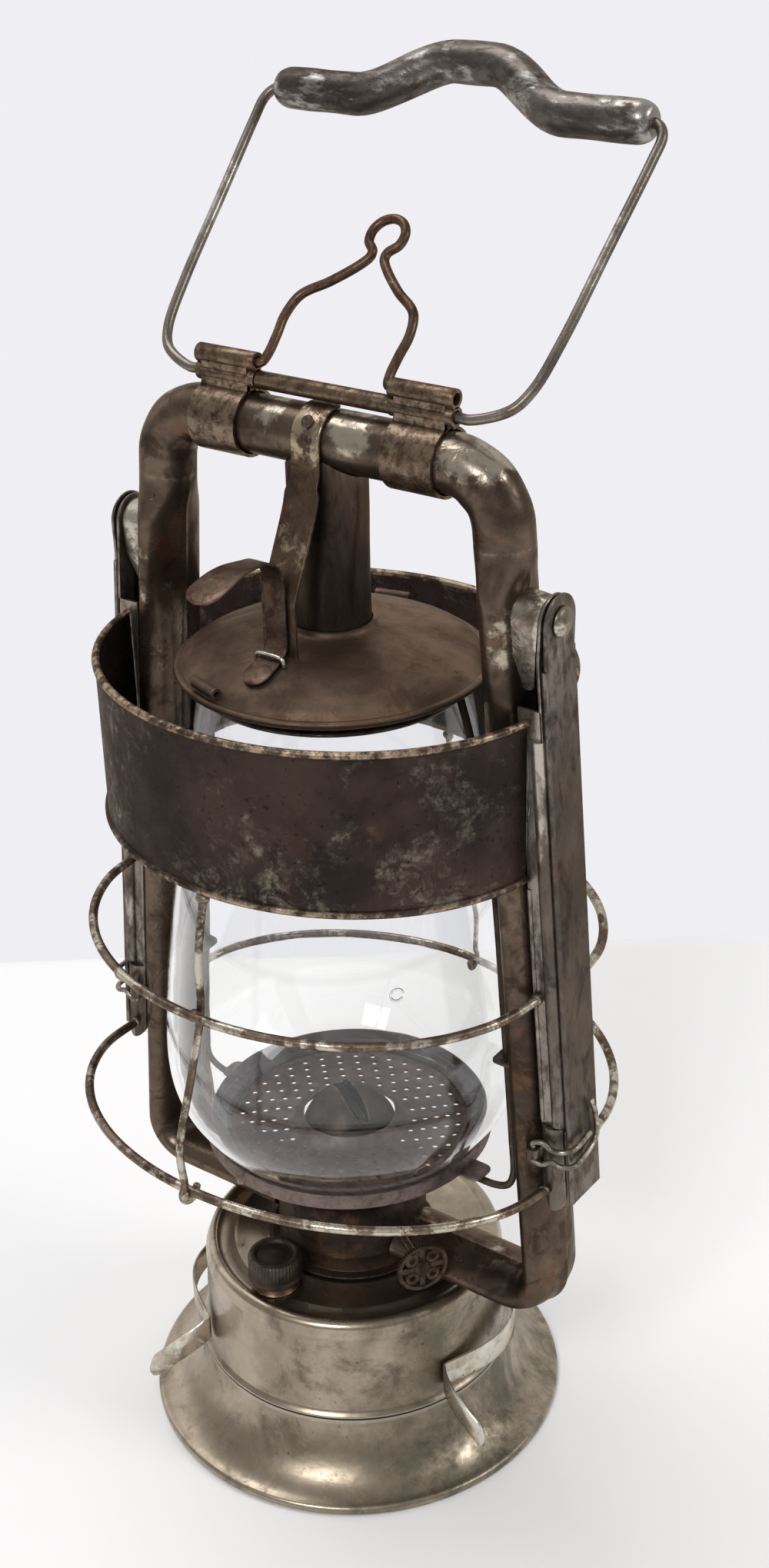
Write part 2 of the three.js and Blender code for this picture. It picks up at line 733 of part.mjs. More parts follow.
// Frame: the top tube with both elbows, the oval side tubes and the centre tube
const elbowTurn = 90 - tubeSplay;
const elbowSetback = elbowRadius * Math.tan(rad(elbowTurn) / 2);
const cornerX = tubeX(topTubeHeight);

function elbowStations(side, section) {
  const centre = V3(side * (cornerX - elbowSetback), 0, topTubeHeight - elbowRadius);
  return Array.from({ length: elbowSteps + 1 }, (_, i) => {
    const a = rad((elbowTurn * i) / elbowSteps);
    const out = V3(side * Math.sin(a), 0, Math.cos(a));
    return { at: centre.clone().addScaledVector(out, elbowRadius), u: out, v: V3(0, 1, 0), section };
  });
}

// A round bar along the top tube's line, down to the height of its two ends
function topRun(radius, endHeight) {
  const section = ovalSection(radius, radius);
  const end = (side) => {
    const out = V3(side * Math.cos(rad(tubeSplay)), 0, Math.sin(rad(tubeSplay)));
    return { at: V3(side * tubeX(endHeight), 0, endHeight), u: out, v: V3(0, 1, 0), section };
  };
  return loft([end(-1), ...elbowStations(-1, section).reverse(), ...elbowStations(1, section), end(1)]);
}

const topTube = () => cut(topRun(topTubeRadius, tubeLapHeight),
  topRun(topTubeRadius - tubeWall, tubeLapHeight - overrun));

// An oval section with a folded seam standing out at its inner and outer edge
function seamedSection(halfU, halfV, seam) {
  return ovalSection(halfU, halfV, tubeSides + 2).map(([a, b], i, all) => {
    const onEdge = i === 0 || i === all.length / 2;
    return onEdge ? [a + Math.sign(a) * seam, b] : [a, b];
  });
}

// The right-hand side tube: round where it meets the elbow, oval below, then in to the chamber
function sideTube(grow, inward) {
  const width = sideTubeHalfWidth + grow;
  const depth = sideTubeHalfDepth + grow;
  const round = topTubeRadius + grow;
  const seam = inward ? 0 : seamHeight;
  const out = V3(Math.cos(rad(tubeSplay)), 0, Math.sin(rad(tubeSplay)));
  const straight = (z, share) => ({
    at: V3(tubeX(z), 0, z), u: out, v: V3(0, 1, 0),
    section: seamedSection(round + (width - round) * share, round + (depth - round) * share,
      seam * share),
  });
  const lap = tubeLapHeight - seatGap;
  const drop = lap - tubeShoulderHeight;
  const turn = 90 + tubeSplay;
  const setback = lowerElbowRadius * Math.tan(rad(turn) / 2);
  const footX = tubeX(lowerRunHeight);
  const centre = V3(footX - setback, 0, lowerRunHeight + lowerElbowRadius);
  const elbow = Array.from({ length: elbowSteps + 1 }, (_, i) => {
    const a = rad(tubeSplay - (turn * i) / elbowSteps);
    const dir = V3(Math.cos(a), 0, Math.sin(a));
    return {
      at: centre.clone().addScaledVector(dir, lowerElbowRadius), u: dir, v: V3(0, 1, 0),
      section: seamedSection(width, depth, seam),
    };
  });
  const end = {
    at: V3(inward ? 0 : chamberRadius / 2, 0, lowerRunHeight), u: V3(0, 0, -1), v: V3(0, 1, 0),
    section: seamedSection(width, depth, seam),
  };
  const start = inward ? [straight(lap + overrun, 0)] : [];
  return loft([...start, straight(lap, 0), straight(lap - drop * 0.3, 0.2),
    straight(lap - drop * 0.7, 0.8), straight(tubeShoulderHeight, 1),
    straight(guideHeight, 1), ...elbow, end]);
}

function sideTubePiece() {
  const chamber = bar(chamberRadius + seatGap, topTubeHeight / 2, roundSides)
    .translate(0, 0, lowerRunHeight);
  return cut(sideTube(0, false), sideTube(-tubeWall, true), chamber);
}

// The centre tube: round where the canopy slides on it, flattened to an oval under the top tube
function centreTubeRun(grow, low, high) {
  const straightTop = topTubeHeight - strapKneeDrop;
  const ovalFoot = topTubeHeight - centreTubeStraight;
  const station = (z, halfU, halfV) => ({
    at: V3(0, 0, z), u: V3(1, 0, 0), v: V3(0, 1, 0),
    section: ovalSection(halfU + grow, halfV + grow, tubeSides + 4),
  });
  return loft([station(low, centreTubeRadius, centreTubeRadius),
    station(straightTop, centreTubeRadius, centreTubeRadius),
    station(ovalFoot, centreTubeTopHalfWidth, centreTubeTopHalfDepth),
    station(high, centreTubeTopHalfWidth, centreTubeTopHalfDepth)]);
}

function centreTube() {
  const foot = canopyTopAt(centreTubeRadius) - centreTubeDip;
  return cut(centreTubeRun(0, foot, topTubeHeight),
    centreTubeRun(-tubeWall, foot - overrun, topTubeHeight + overrun),
    barAlongX(topTubeRadius + seatGap, centreTubeRadius * 3, tubeSides)
      .translate(0, 0, topTubeHeight));
}

// Canopy: a shallow dome with a rolled rim, a collar round the centre tube, rim lugs and a slot
function canopy() {
  const bore = centreTubeRadius + runningGap;
  const collarTop = canopyTopAt(bore) + canopyCollar;
  const rim = arcPoints(canopyRadius - canopyBead, canopyRimCentre, canopyBead,
    -120, 70, 3);
  const dome = domeShares.map((share) => {
    const r = canopyRadius - canopyBead * 2.4 - (canopyRadius - bore) * share;
    return [r, canopyTopAt(r)];
  });
  const under = dome.map(([r, z]) => [r, z - sheet]).reverse();
  const shell = revolve([
    ...rim, ...dome, [bore + sheet * 1.8, canopyTopAt(bore) + sheet * 0.6],
    [bore + sheet * 1.5, collarTop], [bore, collarTop], [bore, canopyTopAt(bore) - sheet],
    ...under, rim[0],
  ], fineSides);
  const slot = block(strapWidth + runningGap * 4, sheet + runningGap * 2, overrun * 2)
    .translate(0, -strapFootReach, canopyTopAt(strapFootReach));
  const lugs = lugAngles.map((angle) => barAlongX(lugRadius, lugLength, tubeSides / 2)
    .translate(0, -canopyRadius + lugRadius * 1.6, canopyTopAt(canopyRadius - lugRadius * 2))
    .rotateZ(rad(angle)));
  return join(cut(shell, slot), ...lugs);
}

function globeTopRing() {
  const top = canopyTopAt(topRingRadius) - sheet - seatGap * 2;
  const low = top - topRingHeight;
  const inner = topRingRadius - sheet;
  return revolve([[inner, low], [topRingRadius, low], [topRingRadius + sheet, low + sheet],
    [topRingRadius, low + sheet * 2], [topRingRadius, top], [inner, top], [inner, low]]);
}

// Spring strap: over the top tube, down past a jog and through the canopy's slot
const strapRadius = topTubeRadius + seatGap + sheet / 2;
const strapRivetAngle = 140;

function springStrap() {
  const over = arcPoints(0, topTubeHeight, strapRadius, 84, 186, 9);
  const front = -strapRadius - sheet / 3;
  const strapJogHeight = topTubeHeight - strapJogDrop;
  const strapKneeHeight = topTubeHeight - strapKneeDrop;
  const line = [...over, [front, strapJogHeight + strapJog * 1.6],
    [front - strapJog, strapJogHeight - strapJog],
    [-strapFootReach, strapKneeHeight], [-strapFootReach, strapKneeHeight - strapJog * 2],
    [-strapFootReach, canopyTopAt(strapFootReach) - sheet * 3]];
  const hole = bar(strapRivetShank + runningGap, overrun, tubeSides / 2).rotateX(rad(90))
    .translate(0, -strapRadius, 0).rotateX(rad(strapRivetAngle - 180))
    .translate(0, 0, topTubeHeight);
  const wide = strapWidth / 2;
  const narrow = strapNeckWidth / 2;
  const shoulder = strapJogHeight - strapJog * 2;
  const plan = new THREE.Shape([
    [-wide, 0], [wide, 0], [wide, shoulder], [narrow, strapJogHeight],
    [narrow, topTubeHeight * 2], [-narrow, topTubeHeight * 2], [-narrow, strapJogHeight],
    [-wide, shoulder],
  ].map(([x, z]) => new THREE.Vector2(x, z)));
  const prism = new THREE.ExtrudeGeometry(plan, { depth: canopyRadius * 2, bevelEnabled: false })
    .rotateX(rad(90)).translate(0, canopyRadius, 0);
  return cut(common(ribbon(line, sheet, strapWidth * 2), prism), hole);
}

function strapRivet() {
  const seat = strapRadius + sheet / 2 + seatGap;
  const dome = arcPoints(0, seat, strapRivetRadius, 0, 90, 4)
    .map(([r, z]) => [Math.max(r, 0), seat + (z - seat) * 0.55]);
  return revolve([[0, strapRadius - sheet / 2 + seatGap / 3],
    [strapRivetShank, strapRadius - sheet / 2 + seatGap / 3],
    [strapRivetShank, seat], ...dome], tubeSides)
    .rotateX(rad(strapRivetAngle - 90)).translate(0, 0, topTubeHeight);
}

// Thumb lever: a tongue on the canopy, an upright leg and a finger tab curling forward
function thumbLever() {
  const surface = (y) => canopyTopAt(-y) + seatGap * 2 + sheet / 2;
  const leg = -strapFootReach - sheet - seatGap - runningGap;
  const toe = leg - leverFoot;
  const top = surface(leg) + leverRise;
  const bend = arcPoints(leg - leverBend, top - leverBend, leverBend, 0, 84, 6);
  const instep = leg - leverFoot / 2;
  const line = [[toe, surface(toe)], [instep, surface(instep)],
    [leg - sheet * 2, surface(leg - sheet * 2)],
    [leg, surface(leg) + sheet * 2], ...bend,
    [-(leverReach + strapFootReach) / 2, top + sheet],
    [-leverReach * 0.88, top - leverDroop * 0.3], [-leverReach, top - leverDroop]];
  const strip = ribbon(line, sheet, leverWidth * 2);
  const neckHalf = leverWidth * 0.42;
  const tabHalf = leverWidth * 0.65;
  const footHalf = leverFootWidth / 2;
  const outline = (points, end, half) => {
    const plan = new THREE.Shape(points.map(([x, y]) => new THREE.Vector2(x, y)));
    plan.absarc(0, end + half, half, rad(180), rad(360), false);
    return plan;
  };
  const prism = (plan, low, height) => new THREE.ExtrudeGeometry(plan,
    { depth: height, bevelEnabled: false, curveSegments: leverCurveSteps }).translate(0, 0, low);
  const tab = outline([[neckHalf, 0], [-neckHalf, 0], [-neckHalf, leg - leverBend],
    [-tabHalf, -leverReach * 0.78]], -leverReach, tabHalf);
  tab.lineTo(tabHalf, -leverReach * 0.78).lineTo(neckHalf, leg - leverBend);
  const foot = outline([[neckHalf, 0], [-neckHalf, 0], [-neckHalf, leg - sheet * 2],
    [-footHalf, leg - leverFoot * 0.45]], toe - sheet, footHalf);
  foot.lineTo(footHalf, leg - leverFoot * 0.45).lineTo(neckHalf, leg - sheet * 2);
  const middle = surface(leg) + leverRise / 2;
  const plans = join(prism(tab, middle, leverRise), prism(foot, middle - leverRise, leverRise + seatGap));
  return common(strip, plans);
}

// A staple of wire bent over the lever's foot, with its two ends on the canopy
function leverStaple() {
  const y = -strapFootReach - sheet * 5 - seatGap * 2;
  const over = canopyTopAt(-y) + seatGap * 3.6 + sheet + stapleWireRadius;
  const low = canopyTopAt(-y) + seatGap;
  const half = leverWidth * 0.42 + seatGap + stapleWireRadius * 1.5;
  const bend = stapleWireRadius * 2.4;
  const corner = bend * 0.28;
  const side = (sign) => [V3(sign * half, y, low), V3(sign * half, y, over - bend),
    V3(sign * (half - corner), y, over - corner), V3(sign * (half - bend), y, over)];
  return wire([...side(-1), ...side(1).reverse()], stapleWireRadius, 2);
}

// Globe: a blown glass chimney, double skinned, standing on its plate
function globe() {
  const low = plateTop + seatGap;
  const step = globeBulgeRadius - globeFootRadius;
  const outer = globeProfileShares.map(([share, rise]) => [globeFootRadius + step * share,
    low + globeHeight * rise]);
  outer[outer.length - 1][0] = globeMouthRadius;
  const inner = outer.map(([r, z]) => [r - globeWall, z]).reverse();
  return revolve([...outer, ...inner, outer[0]], roundSides);
}

function globePlate() {
  const inner = coneRadius + runningGap * 2;
  const rimTop = plateTop + plateRim;
  const disc = revolve([
    [inner, plateHeight + sheet], [inner + sheet, plateHeight + sheet],
    [inner + sheet, plateHeight],
    [plateRadius, plateHeight], [plateRadius, rimTop], [plateRadius - sheet, rimTop],
    [plateRadius - sheet, plateTop], [inner + sheet * 2, plateTop],
    [inner + sheet * 2, plateTop + sheet * 1.5], [inner, plateTop + sheet * 1.5],
    [inner, plateHeight + sheet],
  ], roundSides);
  const holes = [];
  plateRowCounts.forEach((count, row) => {
    const r = plateFirstRow + plateRowStep * row;
    for (let i = 0; i < count; i += 1) {
      const a = (rad(360) * (i + (row % 2) / 2)) / count;
      holes.push(bar(plateHoleRadius, overrun, 4)
        .translate(r * Math.cos(a), r * Math.sin(a), plateHeight));
    }
  });
  const ears = [1, -1].map((side) => block(plateEar + sheet, plateEarWidth, sheet)
    .translate(side * (plateRadius + (plateEar - sheet) / 2), 0, plateHeight + sheet / 2));
  return join(cut(disc, ...holes), ...ears);
}

function liftWirePath() {
  const wireZ = plateHeight - seatGap - liftWireRadius;
  const top = canopyRimCentre - canopyBead - seatGap * 1.4;
  const kneeZ = wireZ + liftWireKnee;
  const at = (x, z) => V3(x, 0, z);
  const lean = (share) => liftWireTopReach + (liftWireLowReach - liftWireTopReach) * share;
  const heights = (share) => kneeZ + (top - kneeZ) * share;
  return [
    at(liftWireTopReach, top), at(lean(0.17), heights(0.93)), at(lean(0.57), heights(0.68)),
    at(lean(0.81), heights(0.35)), at(lean(0.97), heights(0.09)), at(liftWireLowReach, kneeZ),
    at(liftWireLowReach - liftWireKnee * 0.3, wireZ + liftWireKnee * 0.3),
    at(liftWireLowReach - liftWireKnee, wireZ), at(plateRadius - plateEar / 3, wireZ),
  ];
}

function wireReachAt(z) {
  const points = through(liftWirePath()).getPoints(120);
  const near = points.reduce((a, b) => (Math.abs(b.z - z) < Math.abs(a.z - z) ? b : a));
  return near.x;
}

// A clip on the side tube with a slot that the lift wire slides in
function guideBracket() {
  const restX = wireReachAt(guideHeight);
  const liftedX = wireReachAt(guideHeight - liftTravel);
  const slotLow = restX - liftWireRadius - runningGap;
  const slotHigh = liftedX + liftWireRadius + runningGap;
  const noseX = slotLow - guideThickness;
  const tubeFace = tubeX(guideHeight) - sideTubeHalfWidth;
  const back = tubeFace + sideTubeHalfWidth;
  const arm = block(back - noseX, guideDepth, guideThickness)
    .translate((back + noseX) / 2, 0, guideHeight);
  const flange = block(back - tubeFace + guideSheet, guideDepth, guideFlange)
    .translate(tubeFace - guideSheet + (back - tubeFace + guideSheet) / 2, 0,
      guideHeight - guideFlange / 2 + guideThickness / 2);
  const slot = block(slotHigh - slotLow, (liftWireRadius + runningGap) * 2, overrun)
    .translate((slotHigh + slotLow) / 2, 0, guideHeight);
  return cut(cut(join(arm, flange), slot), sideTube(seatGap, false));
}

// Pivots: a boss on each side tube, the rail's and strip's ears and one rivet through them
function earBracket() {
  const low = tubeX(pivotHeight);
  const high = railSpan - layerGap - sheet - seatGap;
  const outline = [...arcPoints(0, pivotHeight, earRadius * 0.85, 0, 180, 8),
    [-earRadius * 0.85, pivotHeight - earDrop], [-earRadius * 0.45, pivotHeight - earDrop * 2.3],
    [earRadius * 0.45, pivotHeight - earDrop * 2.3], [earRadius * 0.85, pivotHeight - earDrop]];
  const body = platePiece(outline, low, high - low);
  const slope = block(high, earRadius * 4, earDrop * 4).rotateY(rad(-52))
    .translate(high + earRadius * 0.4, 0, pivotHeight - earDrop * 3.2);
  const bore = barAlongX(pivotRadius + seatGap, high, tubeSides)
    .translate(high - earRadius + high / 2, 0, pivotHeight);
  return cut(body, sideTube(seatGap, false), slope, bore);
}

function pivotRivet() {
  const face = railSpan + sheet + seatGap;
  const root = railSpan - layerGap - sheet - seatGap - earRadius * 0.74;
  const dome = arcPoints(0, 0, pivotHead, 0, 90, 5)
    .map(([r, rise]) => [Math.max(r, 0), face + (rise * pivotHeadRise) / pivotHead]);
  return revolve([[0, root], [pivotRadius, root], [pivotRadius, face], ...dome], tubeSides)
    .rotateY(rad(90)).translate(0, 0, pivotHeight);
}

const stripX = (z) => railX(z) - layerGap;

// Upright loft between two heights: the section stays level and follows the splay
function uprightLoft(xAt, low, high, section) {
  return loft([low, high].map((z) => ({
    at: V3(xAt(z), 0, z), u: V3(1, 0, 0), v: V3(0, 1, 0), section,
  })));
}

const pivotHole = () => barAlongX(pivotRadius + seatGap, overrun * 2, tubeSides)
  .translate(railSpan, 0, pivotHeight);

// Side rail: an ear, a flat outer web and a rear flange turned in
function sideRail() {
  const half = railDepth / 2;
  const bend = pivotHeight - earDrop;
  const ear = platePiece([...arcPoints(0, pivotHeight, earRadius, 0, 180, 10),
    [-half, bend - sheet / 4], [half, bend - sheet / 4]], railSpan, sheet);
  const section = [[0, -half], [sheet, -half], [sheet, half + sheet], [-railFlange, half + sheet],
    [-railFlange, half], [0, half]];
  return cut(join(ear, uprightLoft(railX, railFoot, bend, section)), pivotHole());
}

// Front strip: an ear, a web inside the rail's, a front flange with a half-round bead and a tongue
function frontStrip() {
  const bend = pivotHeight - earDrop;
  const webBack = -stripFace + stripWebDepth;
  const low = railSpan - layerGap - sheet;
  const ear = platePiece([...arcPoints(0, pivotHeight, earRadius * 0.96, 0, 180, 10),
    [-stripFace, bend - sheet / 4], [webBack, bend - sheet / 4]], low, sheet);
  const web = [[-sheet, -stripFace], [0, -stripFace], [0, webBack], [-sheet, webBack]];
  const flange = [[-railFlange, -stripFace], [0, -stripFace], [0, -stripFace + sheet],
    [-railFlange, -stripFace + sheet]];
  const flangeTop = bandLow + bandHeight + bandBead * 2;
  const beadSection = arcPoints(-beadRadius * 0.85, -stripFace + sheet / 2, beadRadius, 180, 360, 6);
  const body = uprightLoft(stripX, tongueTop, bend, web);
  const face = uprightLoft(stripX, tongueTop, flangeTop, flange);
  const bead = uprightLoft(stripX, beadFoot, flangeTop - beadRadius * 4, beadSection);
  return cut(join(ear, body, face, bead, tongue(), claspLug()), pivotHole());
}

// The tongue: a shallow channel below the strip with a round end
function tongue() {
  const half = tongueWidth / 2;
  const arcSteps = 5;
  const bow = (offset) => Array.from({ length: arcSteps + 1 }, (_, i) => {
    const t = (2 * i) / arcSteps - 1;
    return [half * t - half - sheet / 2, -stripFace - tongueBulge * (1 - t * t) + offset];
  });
  const section = [...bow(0), ...bow(sheet * 1.1).reverse()];
  const channel = uprightLoft(stripX, tongueFoot, tongueTop + sheet, section);
  const mid = stripX((tongueTop + tongueFoot) / 2) - half - sheet / 2;
  const plan = new THREE.Shape();
  const wide = half + sheet;
  const tilt = (tongueTop - tongueFoot) * railSlope * 0.5;
  plan.moveTo(mid - wide - tilt, tongueTop + overrun).lineTo(mid - wide + tilt, tongueFoot + half);
  plan.absarc(mid + tilt, tongueFoot + wide, wide, rad(180), rad(360), false);
  plan.lineTo(mid + wide - tilt, tongueTop + overrun);
  const prism = new THREE.ExtrudeGeometry(plan, {
    depth: stripFace * 2, bevelEnabled: false, curveSegments: tongueCurveSteps,
  }).rotateX(rad(90));
  return common(channel, prism);
}

// Bands: half-ellipse walls of sheet with a rolled bead along the top and the bottom edge
function guardBand(side) {
  const steps = 22;
  const back = side < 0 ? stripFront : railBack;
  const start = Math.asin(back / bandReach);
  const high = bandLow + bandHeight;
  const bead = (z, from, to) => arcPoints(bandBead * 0.6, z, bandBead, from, to, 2);
  const section = [[0, bandLow + bandBead], ...bead(bandLow + bandBead, -110, 70),
    [bandSheet, bandLow + bandBead * 2.4], [bandSheet, high - bandBead * 2.4],
    ...bead(high - bandBead, -70, 110), [0, high - bandBead]];
  const stations = Array.from({ length: steps + 1 }, (_, i) => {
    const a = start + ((rad(180) - 2 * start) * i) / steps;
    const normal = V3(Math.cos(a) * bandReach, side * Math.sin(a) * bandHalfWidth, 0).normalize();
    return {
      at: V3(bandHalfWidth * Math.cos(a), side * bandReach * Math.sin(a), 0),
      u: normal, v: V3(0, 0, 1), section,
    };
  });
  return loft(stations);
}

// Hoops: half-ellipse wires whose ends butt against the strips or the rails
const railBack = railDepth / 2 + sheet + seatGap * 2;
const stripFront = stripFace + seatGap * 2;

function hoop(side, reach, height, back, extra = 0, sag = 0) {
  const depth = reach - back;
  const spans = 12;
  const halfWidth = stripX(height - sag) - hoopInset + extra;
  const points = Array.from({ length: spans + 1 }, (_, i) => {
    const a = (rad(180) * i) / spans;
    return V3(halfWidth * Math.cos(a), side * (back + depth * Math.sin(a)),
      height - sag * (1 - Math.sin(a)));
  });
  return wire(points, hoopRadius, 2);
}

// The upright wire at the middle: under the band, inside the upper hoop, bowed out and curled
// round the lower hoop
function guardWire(side, upperReach, lowerReach) {
  const curl = hoopRadius + seatGap * 1.8 + guardWireRadius;
  const start = bandLow - seatGap - guardWireRadius;
  const inside = upperReach - curl;
  const around = [-50, -5, 40, 85, 130, 175].map((angle) => {
    const a = rad(angle);
    return V3(0, side * (lowerReach + curl * Math.cos(a)), lowerHoopHeight - curl * Math.sin(a));
  });
  const span = upperHoopHeight - lowerHoopHeight;
  return wire([
    V3(0, side * (bandReach + bandSheet / 2), start),
    V3(0, side * (inside - hoopRadius / 2), (start + upperHoopHeight) / 2),
    V3(0, side * inside, upperHoopHeight),
    V3(0, side * (inside + guardWireBow * 0.8), upperHoopHeight - span * 0.3),
    V3(0, side * (lowerReach + curl * 0.9), upperHoopHeight - span * 0.72),
    ...around,
  ], guardWireRadius, 2);
}

// Clasp: a hairpin of spring wire that turns in a lug on the tongue's inner edge, crosses the
// tongue and hooks round the rail's outer face
const claspPinX = stripX(claspHeight) - tongueWidth - claspWireRadius;
const claspPinY = -sideTubeHalfDepth - claspWireRadius;

function claspLug() {
  const outer = claspWireRadius + seatGap + sheet;
  const sleeve = bar(outer, claspSpread, tubeSides, claspWireRadius + seatGap)
    .translate(claspPinX, claspPinY, claspHeight);
  const link = block(sheet * 1.4, -claspPinY - stripFace - claspWireRadius, claspSpread)
    .translate(claspPinX + outer - sheet / 2, (claspPinY - stripFace - claspWireRadius) / 2,
      claspHeight);
  return join(sleeve, link);
}

function claspWire() {
  const outerX = railX(claspHeight - claspSpread) + sheet + seatGap * 2 + claspWireRadius;
  const front = -stripFace - tongueBulge - seatGap - claspWireRadius * 1.8;
  const strand = (sign) => {
    const z = claspHeight + sign * claspSpread;
    return [
      V3(claspPinX, claspPinY, z),
      V3(claspPinX + claspWireRadius * 3, (claspPinY + front) / 2, z + sign * claspWireRadius),
      V3((claspPinX + outerX) / 2, front, z - sign * claspWireRadius),
      V3(outerX - claspWireRadius * 3, front, z - sign * claspWireRadius / 2),
      V3(outerX, front + claspWireRadius * 3, z),
    ];
  };
  const pin = [V3(claspPinX, claspPinY, claspHeight + claspSpread * 0.6),
    V3(claspPinX, claspPinY, claspHeight - claspSpread * 0.6)];
  const upper = [...strand(1), V3(outerX, 0, claspHeight + claspSpread * 1.2)];
  const back = railDepth * 0.3;
  const lean = (rise) => outerX - (rise + claspSpread) * railSlope;
  const lower = [...strand(-1), V3(outerX, 0, claspHeight - claspSpread * 0.8),
    V3(lean(0), back, claspHeight), V3(lean(claspHook * 0.6), back, claspHeight + claspHook * 0.6),
    V3(lean(claspHook), back * 0.6, claspHeight + claspHook)];
  return wire([...upper.reverse(), ...pin, ...lower], claspWireRadius, 2, 5);
}

// Bail brackets: a strap round the top tube that carries two sleeves, one above the other
const lowerSleeve = topTubeHeight + topTubeRadius + sleeveRise;
const upperSleeve = lowerSleeve + sleevePitch;
const bailBore = bailWireRadius + runningGap;
const hangerBore = hangerWireRadius + runningGap;

function bailBracket() {
  const middle = bracketInner + bracketWidth / 2;
  const along = (radius, z, width = bracketWidth, sides = tubeSides) => barAlongX(radius, width, sides)
    .translate(middle, 0, z);
  const strapInner = topTubeRadius + seatGap * 1.4;
  const strapLength = bracketWidth * 0.8;
  const strap = along(strapInner + sheet, topTubeHeight, strapLength, coarseSides);
  const sleeves = [along(bailBore + sleeveWall, lowerSleeve),
    along(hangerBore + sleeveWall, upperSleeve)];
  const web = block(strapLength, bailBore * 1.6, upperSleeve - topTubeHeight - strapInner)
    .translate(middle, 0, (upperSleeve + topTubeHeight + strapInner) / 2);
  const bores = [along(strapInner, topTubeHeight, bracketWidth * 2, coarseSides),
    along(bailBore, lowerSleeve, bracketWidth * 2), along(hangerBore, upperSleeve, bracketWidth * 2)];
  return cut(join(strap, web, ...sleeves), ...bores);
}

// Bails lie in upright frames of their own at their sleeve, and each frame leans back
const gripLow = bailReach;
const gripSlopeEnd = gripHumpHalfLength + gripSlope;

function gripHeight(x) {
  const away = Math.abs(x);
  if (away <= gripHumpHalfLength) return gripLow + gripHump;
  if (away >= gripSlopeEnd) return gripLow;
  const t = (away - gripHumpHalfLength) / gripSlope;
  return gripLow + gripHump * (1 - t * t * (3 - 2 * t));
}

function bailGrip() {
  const steps = 22;
  const stations = Array.from({ length: steps + 1 }, (_, i) => {
    const x = -gripHalfLength * Math.cos((rad(180) * i) / steps);
    const nudge = gripSlope / 40;
    const slope = (gripHeight(x + nudge) - gripHeight(x - nudge)) / (nudge * 2);
    const up = V3(-slope, 0, 1).normalize();
    const fromEnd = gripHalfLength - Math.abs(x);
    const share = Math.min(1, fromEnd / gripNose);
    const radius = gripRadius * (0.5 + 0.5 * Math.sqrt(1 - (1 - share) ** 2));
    return { at: V3(x, 0, gripHeight(x)), u: up, v: V3(0, 1, 0), section: ovalSection(radius, radius) };
  });
  const sockets = [1, -1].map((side) => barAlongX(bailBore, gripSocket * 2, tubeSides)
    .translate(side * gripHalfLength, 0, gripLow));
  return cut(loft(stations), ...sockets);
}

function bailWire() {
  const side = (sign) => [
    [gripHalfLength - gripSocket + seatGap, gripLow], [gripHalfLength + seatGap, gripLow],
    [bailHalfWidth - bailWireRadius, gripLow - bailWireRadius],
    [bailHalfWidth, gripLow - bailWireRadius * 3],
    [bailHalfWidth, bailReach * 0.88], [bailHalfWidth - bailWireRadius, bailReach * 0.58],
    [bailHalfWidth - bailWireRadius * 2, bailReach * 0.28], [bailShoulder, bailReach * 0.12],
    [bailShoulder - bailWireRadius * 2.5, bailReach * 0.05],
    [bracketInner + bracketWidth + bailWireRadius * 3, 0], [bracketInner + bracketWidth, 0],
    [bracketInner, 0],
  ].map(([x, z]) => V3(sign * x, 0, z));
  return wire([...side(1), ...side(-1).reverse()], bailWireRadius, 2);
}

function axleTube() {
  const length = (bracketInner - seatGap) * 2;
  return barAlongX(bailBore + axleTubeWall, length, tubeSides, bailBore);
}

function hangerBail() {
  const eyeZ = hangerNeck + hangerEyeRadius + hangerWireRadius;
  const arm = (sign) => [
    [bracketInner + bracketWidth * 0.85, 0], [bracketInner, 0],
    [bracketInner - hangerWireRadius, hangerWireRadius * 0.25],
    [hangerHalfWidth, hangerWireRadius * 2], [hangerHalfWidth, hangerShoulder * 0.4],
    [hangerHalfWidth * 1.02, hangerShoulder * 0.7], [hangerHalfWidth * 0.92, hangerShoulder],
    [hangerHalfWidth * 0.55, hangerShoulder + hangerEyeRadius],
    [hangerNeckHalfWidth * 1.8, hangerNeck - hangerEyeRadius * 0.5],
    [hangerNeckHalfWidth, hangerNeck],
  ].map(([x, z]) => V3(sign * x, 0, z));
  const eye = Array.from({ length: 9 }, (_, i) => {
    const a = rad(-62 + (304 * i) / 8);
    return V3(hangerEyeRadius * Math.cos(a), 0, eyeZ + hangerEyeRadius * Math.sin(a));
  });
  return wire([...arm(1), ...eye, ...arm(-1).reverse()], hangerWireRadius, 2);
}

// Assembly
piece('bell_skirt', bellSkirt(), 'nickel');
piece('fount_shell', fountShell(), 'nickel');
piece('fount_bottom', fountBottom(), 'tin');
piece('spring_clip', springClip(), 'bright');
piece('filler_neck', fillerNeck(), 'bright');
piece('cap_gasket', capGasket(), 'cork');
piece('filler_cap', fillerCap(), 'dark');
piece('burner_floor', burnerFloor(), 'dark');
piece('air_chamber', airChamber(), 'brown');
piece('burner_cone', burnerCone(), 'dark');
piece('wick_tube', wickTube(), 'dark');
piece('wick', wick(), 'cotton');
piece('wick_shaft', spurShaft(), 'tin');
piece('wick_wheel', wickWheel(), 'dark');
piece('top_tube', topTube(), 'tin');
pair('side_tube', sideTubePiece(), 'tin');
piece('centre_tube', centreTube(), 'brown');
piece('canopy', canopy(), 'brown');
piece('globe_top_ring', globeTopRing(), 'dark');
piece('spring_strap', springStrap(), 'tin');
piece('strap_rivet', strapRivet(), 'tin');
piece('thumb_lever', thumbLever(), 'brown');
piece('lever_staple', leverStaple(), 'bright');
piece('globe', globe(), 'glass');
piece('globe_plate', globePlate(), 'dark');
